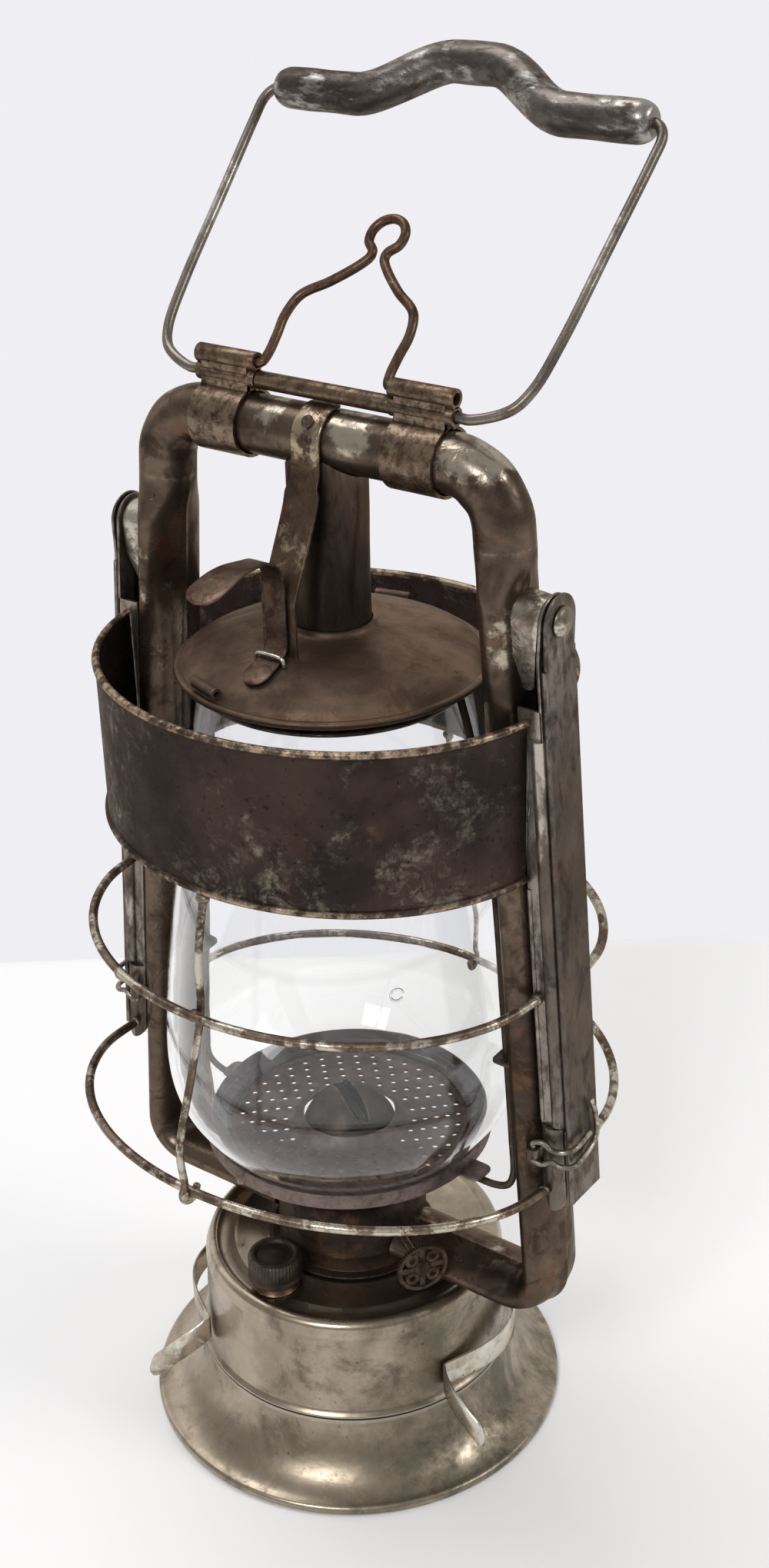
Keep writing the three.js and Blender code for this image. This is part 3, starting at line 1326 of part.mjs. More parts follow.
pair('lift_wire', wire(liftWirePath(), liftWireRadius, 3), 'dark');
pair('guide_bracket', guideBracket(), 'dark');
pair('ear_bracket', earBracket(), 'tin');
pair('pivot_rivet', pivotRivet(), 'bright');
pair('side_rail', sideRail(), 'tin');
pair('front_strip', frontStrip(), 'tin');
piece('front_band', guardBand(-1), 'brown');
piece('rear_band', guardBand(1), 'brown');
piece('front_hoop_upper', hoop(-1, upperHoopReach, upperHoopHeight, stripFront), 'tin');
piece('front_hoop_lower', hoop(-1, lowerHoopReach, lowerHoopHeight, stripFront + tongueBulge,
  0, lowerHoopSag), 'tin');
piece('rear_hoop_upper', hoop(1, upperHoopReach, upperHoopHeight, railBack, rearHoopExtra), 'tin');
piece('rear_hoop_lower', hoop(1, lowerHoopReach, lowerHoopHeight, railBack, rearHoopExtra), 'tin');
piece('front_guard_wire', guardWire(-1, upperHoopReach, lowerHoopReach), 'tin');
piece('rear_guard_wire', guardWire(1, upperHoopReach, lowerHoopReach), 'tin');
pair('clasp', claspWire(), 'bright');
pair('bail_bracket', bailBracket(), 'tin');

const bail = new THREE.Group();
bail.position.set(0, 0, lowerSleeve);
bail.rotation.x = rad(-bailLean);
piece('bail_wire', bailWire(), 'tin', bail);
piece('bail_grip', bailGrip(), 'tin', bail);
piece('axle_tube', axleTube(), 'tin', bail);

const hanger = new THREE.Group();
hanger.position.set(0, 0, upperSleeve);
hanger.rotation.x = rad(-bailLean);
piece('hanger_bail', hangerBail(), 'tin', hanger);
lantern.add(bail, hanger);

export default lantern;
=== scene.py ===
import math

import bmesh
import bpy
import numpy as np
from mathutils import Matrix, Vector


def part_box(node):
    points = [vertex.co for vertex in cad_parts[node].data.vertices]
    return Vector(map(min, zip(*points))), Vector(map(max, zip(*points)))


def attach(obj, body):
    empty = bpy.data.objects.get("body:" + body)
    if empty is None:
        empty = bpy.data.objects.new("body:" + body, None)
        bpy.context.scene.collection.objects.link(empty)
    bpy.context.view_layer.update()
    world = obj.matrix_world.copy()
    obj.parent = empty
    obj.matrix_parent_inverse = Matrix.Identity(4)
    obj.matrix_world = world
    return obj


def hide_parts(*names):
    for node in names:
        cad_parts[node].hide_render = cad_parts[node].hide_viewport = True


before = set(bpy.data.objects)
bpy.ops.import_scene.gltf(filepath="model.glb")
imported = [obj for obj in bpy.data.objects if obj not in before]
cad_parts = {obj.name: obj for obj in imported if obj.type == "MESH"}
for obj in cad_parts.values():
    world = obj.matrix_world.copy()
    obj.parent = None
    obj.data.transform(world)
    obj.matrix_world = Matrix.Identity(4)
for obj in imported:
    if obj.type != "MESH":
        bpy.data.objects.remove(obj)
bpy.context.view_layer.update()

mm = 0.001  # sizes below are in millimetres, except where materials, lamps and floor say metres
fullTurn = 2 * math.pi


# A shell is (points, faces). Several shells become one by counting each one's faces on from the last's points.
def merged(*shells):
    starts = np.cumsum([0] + [len(points) for points, _ in shells]).tolist()
    faces = [[i + start for i in face] for (_, some), start in zip(shells, starts) for face in some]
    return np.concatenate([points for points, _ in shells]), faces


# Every point times a rotation, plus an offset
def moved(shell, matrix=None, offset=(0, 0, 0)):
    points = shell[0] if matrix is None else shell[0] @ matrix.T
    return points + np.array(offset, float), shell[1]


# Mirror image in x = 0, with each face's order turned round
def flippedX(shell):
    return shell[0] * (-1, 1, 1), [face[::-1] for face in shell[1]]


# Rotation matrix about x, rolled on by one place for y and by two for z
def rotation(axis, degrees):
    c, s = math.cos(math.radians(degrees)), math.sin(math.radians(degrees))
    return np.roll([[1, 0, 0], [0, c, -s], [0, s, c]], "xyz".index(axis), (0, 1))


# Each vector divided by its own length
def unit(vectors):
    return vectors / np.linalg.norm(vectors, axis=-1, keepdims=True)


# Points from x, y and z, each a number or an array
def pointsOf(x, y, z):
    return np.stack(np.broadcast_arrays(np.asarray(x, float), y, z), -1)


# (x, z) pairs as points in the plane y = 0, and (y, z) pairs in the plane x = 0
def inXZ(pairs):
    x, z = np.array(pairs, float).T
    return pointsOf(x, 0, z)


def inYZ(pairs):
    y, z = np.array(pairs, float).T
    return pointsOf(0, y, z)


# A line followed by its own mirror image in x = 0, run backwards
def withMirror(line):
    return np.vstack([line, line[::-1] * (-1, 1, 1)])


# Length along a line up to each of its points: the running sum of its steps
def lengthAlong(line):
    return np.append(0, np.cumsum(np.linalg.norm(np.diff(line, axis=0), axis=1)))


# 3t^2 - 2t^3 with t = (value - low) / (high - low), held between 0 and 1
def eased(value, low, high):
    t = np.clip((value - low) / (high - low), 0, 1)
    return t * t * (3 - 2 * t)


# Height of a quarter round at a distance in from its end: sqrt(1 - (1 - distance/radius)^2), at least sqrt(least)
def roundEnd(distance, radius, least):
    return np.sqrt(np.maximum(least, 1 - (1 - np.minimum(1, distance / radius)) ** 2))


# Points of an arc: centre + radius (cos, sin), from one angle in degrees to another
def arc(cx, cy, radius, start, end, steps):
    a = np.radians(np.linspace(start, end, steps + 1))
    return list(zip(cx + radius * np.cos(a), cy + radius * np.sin(a)))


# A whole arc without its last point, which would repeat the first
def circle(cx, cy, radius, count):
    return arc(cx, cy, radius, 0, 360, count)[:-1]


# Quadratic curve (1-t)^2 a + 2t(1-t) b + t^2 c
def bent(a, b, c, steps):
    t = np.linspace(0, 1, steps + 1)[:, None]
    a, b, c = (np.asarray(p, float)[..., None, :] for p in (a, b, c))
    return (1 - t) ** 2 * a + 2 * t * (1 - t) * b + t * t * c


# Rounds a closed outline's corners, each by a quadratic curve that starts radius / tan(half the corner's angle)
# away from it, but at most 0.45 of a side. A third number in a point is that corner's own radius.
def fillet(outline, radius, steps=3):
    corner = np.array([p[:2] for p in outline], float)
    r = np.array([p[2] if len(p) > 2 else radius for p in outline], float)
    before, after = np.roll(corner, 1, 0) - corner, np.roll(corner, -1, 0) - corner
    shorter = np.minimum(np.linalg.norm(before, axis=1), np.linalg.norm(after, axis=1))
    half = np.arccos(np.clip(np.sum(unit(before) * unit(after), 1), -1, 1)) / 2
    rounded = (r > 0) & (half <= 1.5)
    reach = np.where(rounded, np.minimum(r / np.tan(half), 0.45 * shorter), 0)[:, None]
    curve = bent(corner + unit(before) * reach, corner, corner + unit(after) * reach, steps)
    return curve[(np.arange(steps + 1) == 0) | rounded[:, None]]


# Rounded rectangle, counterclockwise about its centre
def box2(width, depth, corner, steps=2):
    w, d = width / 2, depth / 2
    return fillet([(-w, -d), (w, -d), (w, d), (-w, d)], corner, steps)


# One rounded box for each half width: the corners move out, and their rounding stays
def ribbon(half, depth, corner, steps=2):
    box = box2(2, depth, corner, steps)
    across = box[:, 0] + np.sign(box[:, 0]) * (np.asarray(half)[:, None] - 1)
    return np.stack(np.broadcast_arrays(across, box[:, 1]), -1)


# Skin over rings of points: a quad from each point to the next in its ring and on to the next ring
def loft(rings, caps=True):
    count, around = rings.shape[:2]
    grid = np.arange(count * around).reshape(count, around)
    ahead = np.roll(grid, -1, 1)
    faces = np.stack([grid[:-1], ahead[:-1], ahead[1:], grid[1:]], -1).reshape(-1, 4).tolist()
    if caps:
        faces += [grid[0, ::-1].tolist(), grid[-1].tolist()]
    return rings.reshape(-1, 3), faces


# Turns a closed (radius, height) outline about an upright axis: x = r cos a, y = r sin a. wobble(a, r, z) adds
# to r, and a point on the axis is one point that its neighbours' faces share.
def lathe(outline, sides=96, centre=(0, 0), wobble=None):
    r, z = np.array(outline, float).T[..., None]
    a = fullTurn * np.arange(sides) / sides
    onAxis = r < 1e-6
    radius = r + wobble(a, r, z) if wobble else r
    grid = pointsOf(centre[0] + radius * np.cos(a), centre[1] + radius * np.sin(a), z)
    grid[onAxis[:, 0], :, :2] = centre
    kept = ~onAxis | (np.arange(sides) == 0)
    index = np.maximum.accumulate(np.where(kept, np.cumsum(kept).reshape(kept.shape) - 1, 0), axis=1)
    ahead = np.roll(index, -1, 1)
    quads = np.stack([index, ahead, np.roll(ahead, -1, 0), np.roll(index, -1, 0)], -1).reshape(-1, 4).tolist()
    faces = [list(dict.fromkeys(quad)) for quad in quads]
    return grid[kept], [face for face in faces if len(face) > 2]


# Centripetal Catmull-Rom curve: knots lie the square root of each step apart, and the ends are mirrored
def smoothLine(points, per=8):
    p = np.asarray(points, float)
    p = np.vstack([2 * p[0] - p[1], p, 2 * p[-1] - p[-2]])
    steps = np.maximum(np.linalg.norm(np.diff(p, axis=0), axis=1), 1e-6)[:, None, None] ** 0.5
    p0, p1, p2, p3 = (p[i:len(p) - 3 + i, None] for i in range(4))
    t1, t2, t3 = steps[:-2], steps[:-2] + steps[1:-1], steps[:-2] + steps[1:-1] + steps[2:]
    t = t1 + (t2 - t1) * (np.arange(per) / per)[:, None]
    a1 = ((t1 - t) * p0 + t * p1) / t1
    a2 = ((t2 - t) * p1 + (t - t1) * p2) / (t2 - t1)
    a3 = ((t3 - t) * p2 + (t - t2) * p3) / (t3 - t2)
    b1 = ((t2 - t) * a1 + t * a2) / t2
    b2 = ((t3 - t) * a2 + (t - t1) * a3) / (t3 - t1)
    curve = ((t2 - t) * b1 + (t - t1) * b2) / (t2 - t1)
    return np.vstack([curve.reshape(-1, p.shape[1]), p[-2]])


# Rings about a line: centre + r (cos a side + sin a rise). The side is carried from point to point, and at each
# loses its share along the tangent, so that the rings don't twist.
def ringsAbout(line, radius, sides, up=(0, 0, 1)):
    tangent = unit(np.gradient(line, axis=0))
    across = np.array(up if abs(tangent[0] @ up) <= 0.9 else (0, 1, 0), float)
    side = np.empty_like(line)
    for i, way in enumerate(tangent):
        across = unit(across - way * (across @ way))
        side[i] = across
    a = fullTurn * np.arange(sides)[:, None] / sides
    wheel = np.cos(a) * side[:, None] + np.sin(a) * np.cross(tangent, side)[:, None]
    return line[:, None] + np.reshape(radius, (-1, 1, 1)) * wheel, tangent


# A round wire: rings about a smooth line, closed at each end by two smaller rings as a low dome
def tube(points, radius, sides=14, per=8, smooth=True):
    line = smoothLine(points, per) if smooth else np.array(points, float)
    rings, tangent = ringsAbout(line, radius, sides)
    out, share = np.array(((0.62, 0.35), (0.5, 0.88)))[..., None, None]
    head = line[0] - tangent[0] * radius * out + (rings[0] - line[0]) * share
    tail = line[-1] + tangent[-1] * radius * out[::-1] + (rings[-1] - line[-1]) * share[::-1]
    return loft(np.concatenate([head, rings, tail]))


# A section of (across, through) points carried along a line: across runs along the side axis, and through along
# the line's tangent x side axis
def swept(line, section, sideAxis=(1, 0, 0)):
    normal = unit(np.cross(np.gradient(line, axis=0), sideAxis))
    return loft(line[:, None] + section[..., :1] * np.array(sideAxis) + section[..., 1:] * normal[:, None])


# A section of (x, y) points carried up through the heights, shifted by xAt(z)
def risen(section, heights, xAt=lambda z: 0):
    section, z = np.asarray(section, float), np.array(heights, float)[:, None]
    return loft(pointsOf(xAt(z) + section[..., 0], section[..., 1], z))


# A flat plate: place(a, b, t) gives the outline's point at depth t. The first and last ring are drawn in along
# the outline's normals, which softens the rims.
def slab(outline, thickness, place, corner=0.25):
    ring = np.asarray(outline, float)
    onward, back = np.roll(ring, -1, 0), np.roll(ring, 1, 0)
    way = unit(onward - ring) + unit(ring - back)
    area = np.sum(ring[:, 0] * onward[:, 1] - ring[:, 1] * onward[:, 0])
    inner = ring - unit(np.stack([way[:, 1], -way[:, 0]], 1)) * corner * np.sign(area)
    a, b = np.array([inner, ring, ring, inner]).transpose(2, 0, 1)
    depth = np.array([[0], [corner], [thickness - corner], [thickness]])
    return loft(pointsOf(*place(a, b, depth)))


# A flattened drop for solder: a ball of radii (x, y, z) about its centre
def blob(centre, radii):
    t = np.linspace(-1.3, 1.3, 9)
    points, faces = lathe([(0, -1), *zip(np.cos(t), np.sin(t)), (0, 1)], 16)
    return points * radii + centre, faces


# Makes a piece: points in metres, outward normals, smooth shading with edges sharper than an angle kept, its
# material, and then the body it rides on and the solid it replaces
def put(name, shell, material, body, node, sharp=40):
    mesh = bpy.data.meshes.new(name)
    mesh.from_pydata((shell[0] * mm).tolist(), [], shell[1])
    work = bmesh.new()
    work.from_mesh(mesh)
    bmesh.ops.recalc_face_normals(work, faces=work.faces)
    work.to_mesh(mesh)
    work.free()
    mesh.shade_smooth()
    mesh.set_sharp_from_angle(angle=math.radians(sharp))
    mesh.materials.append(material)
    piece = bpy.data.objects.new(name, mesh)
    bpy.context.scene.collection.objects.link(piece)
    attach(piece, body)
    if node:
        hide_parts(node)


# A piece on the right and its mirror image on the left
def both(name, shell, material, bodies, node, sharp=40):
    put(name + "Right", shell, material, bodies[0], node + "_right", sharp)
    put(name + "Left", flippedX(shell), material, bodies[1], node + "_left", sharp)


# Short names for building one node tree; a material's coordinates are object coordinates in metres
class Nodes:
    def __init__(self, name, world=None):
        self.owner = world or bpy.data.materials.new(name)
        self.owner.use_nodes = True
        self.tree = self.owner.node_tree
        self.shader = self.tree.nodes["Background" if world else "Principled BSDF"]
        self.coords = self.tree.nodes.new("ShaderNodeTexCoord").outputs["Generated" if world else "Object"]

    def node(self, kind, inputs={}, **settings):
        made = self.tree.nodes.new(kind)
        for key, value in settings.items():
            setattr(made, key, value)
        for key, value in inputs.items():
            self.feed(made.inputs[key], value)
        return made

    def feed(self, socket, value):
        if isinstance(value, bpy.types.NodeSocket):
            self.tree.links.new(value, socket)
        else:
            socket.default_value = value

    def link(self, socket, value):
        self.feed(self.shader.inputs[socket], value)

    def stretched(self, scale):
        return self.node("ShaderNodeMapping", {"Vector": self.coords, "Scale": scale}).outputs["Vector"]

    def shifted(self, vector, amount):
        inputs = {0: vector, 1: (amount, amount, amount)}
        return self.node("ShaderNodeVectorMath", inputs, operation="ADD").outputs["Vector"]

    def height(self, axis="Z"):
        return self.node("ShaderNodeSeparateXYZ", {"Vector": self.coords}).outputs[axis]

    def ridges(self, low, high):
        return self.ramp(self.node("ShaderNodeNewGeometry").outputs["Pointiness"], low, high)

    def noise(self, scale, detail=4, rough=0.55, vector=None, warp=0.0):
        inputs = {"Vector": vector or self.coords, "Scale": scale, "Detail": detail, "Roughness": rough,
                  "Distortion": warp}
        return self.node("ShaderNodeTexNoise", inputs).outputs["Fac"]

    def ramp(self, value, low, high, a=0.0, b=1.0):
        inputs = {"Value": value, "From Min": low, "From Max": high, "To Min": a, "To Max": b}
        return self.node("ShaderNodeMapRange", inputs, interpolation_type="SMOOTHSTEP").outputs["Result"]

    def math(self, operation, a, b):
        return self.node("ShaderNodeMath", {0: a, 1: b}, operation=operation).outputs[0]

    def plus(self, a, b, share=1):
        return self.math("ADD", a, b if share == 1 else self.math("MULTIPLY", b, share))

    def times(self, a, b):
        return self.math("MULTIPLY", a, b)

    def mix(self, factor, a, b):
        made = self.node("ShaderNodeMix", data_type="RGBA")
        for key, value in (("Factor", factor), ("A", a), ("B", b)):
            socket = [s for s in made.inputs if s.name == key and s.enabled][0]
            self.feed(socket, (*value, 1) if isinstance(value, tuple) else value)
        return [s for s in made.outputs if s.enabled][0]

    def over(self, below, colour, mask, share):
        return self.mix(self.times(mask, share), below, colour)

    def bump(self, height, strength, distance):
        inputs = {"Height": height, "Strength": strength, "Distance": distance}
        return self.node("ShaderNodeBump", inputs).outputs["Normal"]


# Old plate, from (bare, brown, deep brown, rust): brown oxide in two tones, then rust, then metal where noise, the
# spots and the edges together pass the wear level, then black stains and specks. The spots are rubbed wear, and on
# the top tube and the front strips partly painted light.
def agedMetal(name, colours, wear, rough=(0.26, 0.5), metallic=0.85, patch=42, grain=(1, 1, 1), stains=0.5,
              edge=0.5, relief=0.35, spots=()):
    bare, brown, deep, rust = colours
    n = Nodes(name)
    vector = n.stretched(grain)
    broad = n.noise(patch, 5, 0.62, vector, 0.5)
    fine = n.noise(patch * 6.5, 5, 0.72, vector)
    tone = n.ramp(n.plus(n.noise(patch * 0.8, 4, 0.6, n.shifted(vector, 3.1), 0.6), fine, 0.3), 0.48, 0.82)
    rusty = n.ramp(n.noise(patch * 1.7, 6, 0.7, n.shifted(vector, 7.7), 0.9), 0.52, 0.66)
    colour = n.over(n.mix(tone, deep, brown), rust, rusty, 0.7)
    wornAndSheen = n.plus(broad, fine, 0.4)
    for x, y, z, radius, more in spots:  # centre, radius, and what it adds to the wear mask; some spots are partly painted light
        away = n.node("ShaderNodeVectorMath", {0: n.coords, 1: (x, y, z)}, operation="DISTANCE").outputs["Value"]
        wornAndSheen = n.plus(wornAndSheen, n.ramp(away, radius * 0.3, radius, more, 0.0))
    edges = n.times(n.times(n.ridges(0.52, 0.6), edge), n.ramp(fine, 0.35, 0.6))
    wornAndSheen = n.math("MAXIMUM", n.ramp(wornAndSheen, wear, wear + 0.12), edges)
    stain = n.ramp(n.noise(patch * 2.6, 6, 0.7, n.shifted(vector, 1.3), 1.0), 0.5, 0.64)
    speck = n.ramp(n.noise(patch * 13, 3, 0.6, vector), 0.66, 0.72)
    colour = n.over(n.over(colour, bare, wornAndSheen, 0.85), (0.014, 0.011, 0.009), stain, stains)
    n.link("Base Color", n.over(colour, (0.02, 0.013, 0.009), speck, 0.6))
    n.link("Metallic", metallic)
    n.link("Specular Tint", (0.62, 0.56, 0.5, 1))
    polish = n.math("SUBTRACT", n.plus(wornAndSheen, tone, 0.4), stain)
    n.link("Roughness", n.ramp(polish, -0.7, 1.1, rough[1], rough[0]))
    height = n.plus(n.times(fine, 0.35), n.math("SUBTRACT", rusty, speck), 0.3)
    n.link("Normal", n.bump(n.plus(height, broad, 1.1), relief, 0.0007))
    return n.owner


# The guard's band: dark oxide, grey patches that grow towards its lower edge, rust, pits, and two rims rubbed bare
def bandPlate(low, high):
    n = Nodes("band tin")
    height = n.height()
    broad, fine = n.noise(34, 6, 0.66, warp=0.7), n.noise(300, 5, 0.72)
    tone = n.ramp(n.noise(24, 5, 0.6, n.shifted(n.coords, 5.1)), 0.38, 0.66)
    lower = n.ramp(height, low + 0.004, low + 0.03, 0.1, 0.0)
    grey = n.ramp(n.plus(n.plus(broad, fine, 0.42), lower), 0.74, 0.96)
    grey = n.times(grey, n.ramp(n.noise(130, 6, 0.75, n.shifted(n.coords, 9.4), 1.4), 0.42, 0.62))
    rust = n.ramp(n.noise(58, 6, 0.7, n.shifted(n.coords, 2.2), 0.8), 0.55, 0.7)
    pit = n.ramp(n.noise(520, 3, 0.6), 0.62, 0.7)
    colour = n.over(n.mix(tone, (0.022, 0.0155, 0.014), (0.056, 0.036, 0.03)), (0.23, 0.195, 0.15), grey, 0.85)
    colour = n.over(n.over(colour, (0.068, 0.032, 0.024), rust, 0.5), (0.012, 0.009, 0.008), pit, 0.7)
    upperRim = n.ramp(height, high - 0.0022, high - 0.0012)
    rim = n.math("MAXIMUM", upperRim, n.ramp(height, low + 0.0012, low + 0.0024, 1.0, 0.0))
    rim = n.times(rim, n.ramp(n.plus(fine, broad, 0.6), 0.72, 0.94, 0.06, 0.9))
    n.link("Base Color", n.mix(rim, colour, (0.46, 0.34, 0.24)))
    n.link("Metallic", 0.8)
    n.link("Specular Tint", (0.6, 0.55, 0.5, 1))
    n.link("Roughness", n.ramp(n.plus(fine, grey, 0.5), 0.3, 1.0, 0.48, 0.28))
    relief = n.plus(broad, n.math("SUBTRACT", grey, pit), 0.22)
    n.link("Normal", n.bump(n.plus(relief, fine, 0.3), 0.55, 0.0009))
    return n.owner


# Worn nickel: a warm-grey field with dull clouds, stains that gather towards +X, rubbed edges and fine scratches
def nickelPlate(clean, dull, stainColour, green):
    n = Nodes("worn nickel")
    broad, fine = n.noise(17, 5, 0.62, warp=0.5), n.noise(190, 5, 0.7)
    blots = n.ramp(n.noise(52, 7, 0.74, warp=0.4), 0.5, 0.68)
    grime = n.times(n.ramp(n.height("X"), 0.012, 0.062), n.ramp(n.noise(38, 7, 0.76, warp=0.3), 0.4, 0.62))
    specks = n.ramp(n.noise(420, 3, 0.6), 0.66, 0.74)
    base = n.mix(n.ramp(n.plus(broad, fine, 0.3), 0.5, 0.8), clean, dull)
    base = n.over(n.over(base, stainColour, blots, 0.68), green, grime, 0.7)
    base = n.over(base, green, specks, 0.65)
    n.link("Base Color", n.over(base, (0.62, 0.58, 0.5), n.ridges(0.52, 0.58), 0.55))
    n.link("Metallic", 0.97)
    n.link("Roughness", n.ramp(n.plus(n.plus(broad, blots, 0.3), grime, 0.3), 0.35, 1.0, 0.25, 0.5))
    scratches = n.noise(900, 2, 0.5, n.stretched((0.12, 0.12, 1)))
    height = n.plus(n.times(broad, 1.2), scratches, 0.05)
    n.link("Normal", n.bump(n.plus(height, fine, 0.1), 0.3, 0.001))
    return n.owner


# Two colours mixed by noise, with a finer grain in the bump
def corkGrain(colours, scale):
    n = Nodes("cork")
    n.link("Base Color", n.mix(n.ramp(n.noise(scale, 5, 0.6), 0.35, 0.65), *colours))
    n.link("Roughness", 0.9)
    n.link("Metallic", 0.0)
    n.link("Normal", n.bump(n.noise(scale * 4, 3), 0.5, 0.0003))
    return n.owner


# Rows of a woven strip by a wave along z, blackened above the flame line
def cottonWeave(cloth, soot):
    n = Nodes("wick cotton")
    wave = {"Vector": n.coords, "Scale": 420.0, "Distortion": 1.2}
    rows = n.node("ShaderNodeTexWave", wave, bands_direction="Z").outputs["Fac"]
    n.link("Base Color", n.mix(n.ramp(n.height(), 0.106, 0.1105), n.mix(rows, *cloth), soot))
    n.link("Roughness", 0.95)
    n.link("Normal", n.bump(rows, 0.6, 0.0004))
    return n.owner


# Clear glass with a faint smear and slow waves of old moulded work
def clearGlass():
    n = Nodes("clear glass")
    n.link("Base Color", (0.985, 0.99, 0.988, 1))
    n.link("Transmission Weight", 1.0)
    n.link("IOR", 1.45)
    n.link("Roughness", n.ramp(n.noise(14, 4, 0.6, n.stretched((1, 1, 0.4)), 0.6), 0.55, 0.85, 0.0, 0.03))
    n.link("Normal", n.bump(n.noise(32, 2), 0.1, 0.001))
    return n.owner


# Bare metal, brown, deep brown and rust of each tin, the level where wear starts, roughness of metal and of
# brown, and patches in a metre; a spot is (x, y, z, radius, share), in metres
tinLooks = {
    "aged": {"colours": ((0.46, 0.37, 0.26), (0.14, 0.092, 0.062), (0.06, 0.039, 0.028), (0.125, 0.058, 0.034)),
             "wear": 0.78, "rough": (0.24, 0.5), "patch": 60, "spots": ((0, -0.009, 0.333, 0.012, 0.16),)},
    "tube": {"colours": ((0.52, 0.455, 0.365), (0.155, 0.113, 0.082), (0.06, 0.043, 0.033), (0.13, 0.065, 0.04)),
             "wear": 0.84, "rough": (0.18, 0.42), "patch": 38, "relief": 0.26,
             # the four spots on the top tube's upper side are partly a painted highlight where light from above
             # falls
             "spots": ((0.013, -0.004, 0.336, 0.012, 0.3), (-0.014, -0.004, 0.336, 0.009, 0.24),
                       (0.05, -0.004, 0.336, 0.015, 0.25), (-0.05, -0.004, 0.336, 0.012, 0.2),
                       (0.067, -0.008, 0.289, 0.014, 0.25), (-0.067, -0.008, 0.289, 0.014, 0.25))},
    "strip": {"colours": ((0.52, 0.475, 0.415), (0.19, 0.155, 0.128), (0.08, 0.062, 0.05), (0.125, 0.072, 0.047)),
              "wear": 0.75, "rough": (0.28, 0.5), "patch": 52, "grain": (1, 1, 0.4),
              # these spots are partly a painted lightening of the flat front face, which reflects the dim front of
              # the room
              "spots": ((0.074, -0.008, 0.245, 0.034, 0.22), (-0.074, -0.008, 0.245, 0.034, 0.2))},
    "rail": {"colours": ((0.42, 0.38, 0.33), (0.12, 0.097, 0.08), (0.066, 0.052, 0.043), (0.09, 0.056, 0.042)),
             "wear": 0.9, "rough": (0.3, 0.52), "patch": 40, "grain": (1, 1, 0.5), "relief": 0.3,
             "spots": ((0.075, 0, 0.283, 0.016, 0.22), (-0.075, 0, 0.283, 0.016, 0.2))},
    "rivet": {"colours": ((0.6, 0.56, 0.48), (0.38, 0.34, 0.28), (0.17, 0.14, 0.11), (0.16, 0.1, 0.07)),
              "wear": 0.68, "rough": (0.28, 0.5), "metallic": 0.92, "patch": 60, "stains": 0.3},
    "bracket": {"colours": ((0.48, 0.39, 0.28), (0.125, 0.073, 0.048), (0.06, 0.035, 0.025), (0.15, 0.064, 0.036)),
                "wear": 0.86, "rough": (0.24, 0.46), "patch": 52},
    "bail": {"colours": ((0.44, 0.41, 0.37), (0.24, 0.213, 0.186), (0.12, 0.1, 0.085), (0.14, 0.09, 0.065)),
             "wear": 0.76, "rough": (0.26, 0.42), "metallic": 0.92, "patch": 40, "stains": 0.3, "edge": 0.2,
             "relief": 0.2},
    "chamber": {"colours": ((0.2, 0.13, 0.08), (0.07, 0.046, 0.033), (0.03, 0.021, 0.016), (0.12, 0.058, 0.03)),
                "wear": 0.9, "rough": (0.4, 0.6), "metallic": 0.7, "patch": 55},
    "plate": {"colours": ((0.3, 0.25, 0.225), (0.2, 0.152, 0.138), (0.11, 0.08, 0.072), (0.12, 0.075, 0.058)),
              "wear": 0.86, "rough": (0.45, 0.62), "metallic": 0.7, "patch": 60, "stains": 0.3},
    "centre": {"colours": ((0.28, 0.235, 0.18), (0.085, 0.06, 0.044), (0.026, 0.019, 0.016), (0.075, 0.04, 0.025)),
               "wear": 0.86, "rough": (0.32, 0.5), "metallic": 0.8, "patch": 48, "grain": (1, 1, 0.22),
               "stains": 0.75},
    "canopy": {"colours": ((0.3, 0.23, 0.165), (0.2, 0.136, 0.096), (0.085, 0.056, 0.041), (0.14, 0.078, 0.048)),
               "wear": 0.92, "rough": (0.38, 0.6), "metallic": 0.8, "patch": 34, "stains": 0.22, "relief": 0.28,
               "spots": ((0.012, -0.03, 0.272, 0.012, 0.12),)},
    "dark": {"colours": ((0.25, 0.21, 0.175), (0.085, 0.065, 0.052), (0.04, 0.031, 0.026), (0.075, 0.04, 0.026)),
             "wear": 0.86, "rough": (0.34, 0.58), "metallic": 0.8, "patch": 45},
    "grip": {"colours": ((0.42, 0.4, 0.375), (0.17, 0.15, 0.138), (0.05, 0.041, 0.037), (0.085, 0.06, 0.05)),
             "wear": 0.7, "rough": (0.26, 0.48), "metallic": 0.88, "patch": 62, "grain": (0.5, 1, 1),
             "relief": 0.28,
             "spots": ((0.062, 0.065, 0.408, 0.009, 0.2), (-0.062, 0.065, 0.408, 0.008, 0.12),
                       (0.02, 0.07, 0.418, 0.016, 0.08))},
    "wire": {"colours": ((0.64, 0.58, 0.48), (0.24, 0.185, 0.138), (0.1, 0.068, 0.05), (0.15, 0.082, 0.05)),
             "wear": 0.68, "rough": (0.26, 0.46), "patch": 80},
    "bright": {"colours": ((0.8, 0.755, 0.67), (0.56, 0.51, 0.42), (0.28, 0.23, 0.175), (0.22, 0.14, 0.09)),
               "wear": 0.6, "rough": (0.2, 0.42), "metallic": 0.95, "patch": 30, "stains": 0.25},
    "lever": {"colours": ((0.38, 0.3, 0.23), (0.14, 0.088, 0.064), (0.052, 0.034, 0.027), (0.15, 0.075, 0.05)),
              "wear": 0.88, "rough": (0.28, 0.48), "patch": 50},
    "boss": {"colours": ((0.6, 0.55, 0.47), (0.3, 0.255, 0.205), (0.1, 0.08, 0.062), (0.14, 0.085, 0.055)),
             "wear": 0.66, "rough": (0.2, 0.42), "metallic": 0.92, "patch": 50, "stains": 0.4, "relief": 0.2},
}
tin = {name: agedMetal(name + " tin", **look) for name, look in tinLooks.items()}
bandTin = bandPlate(low=0.217, high=0.267)  # the band's edges, in metres
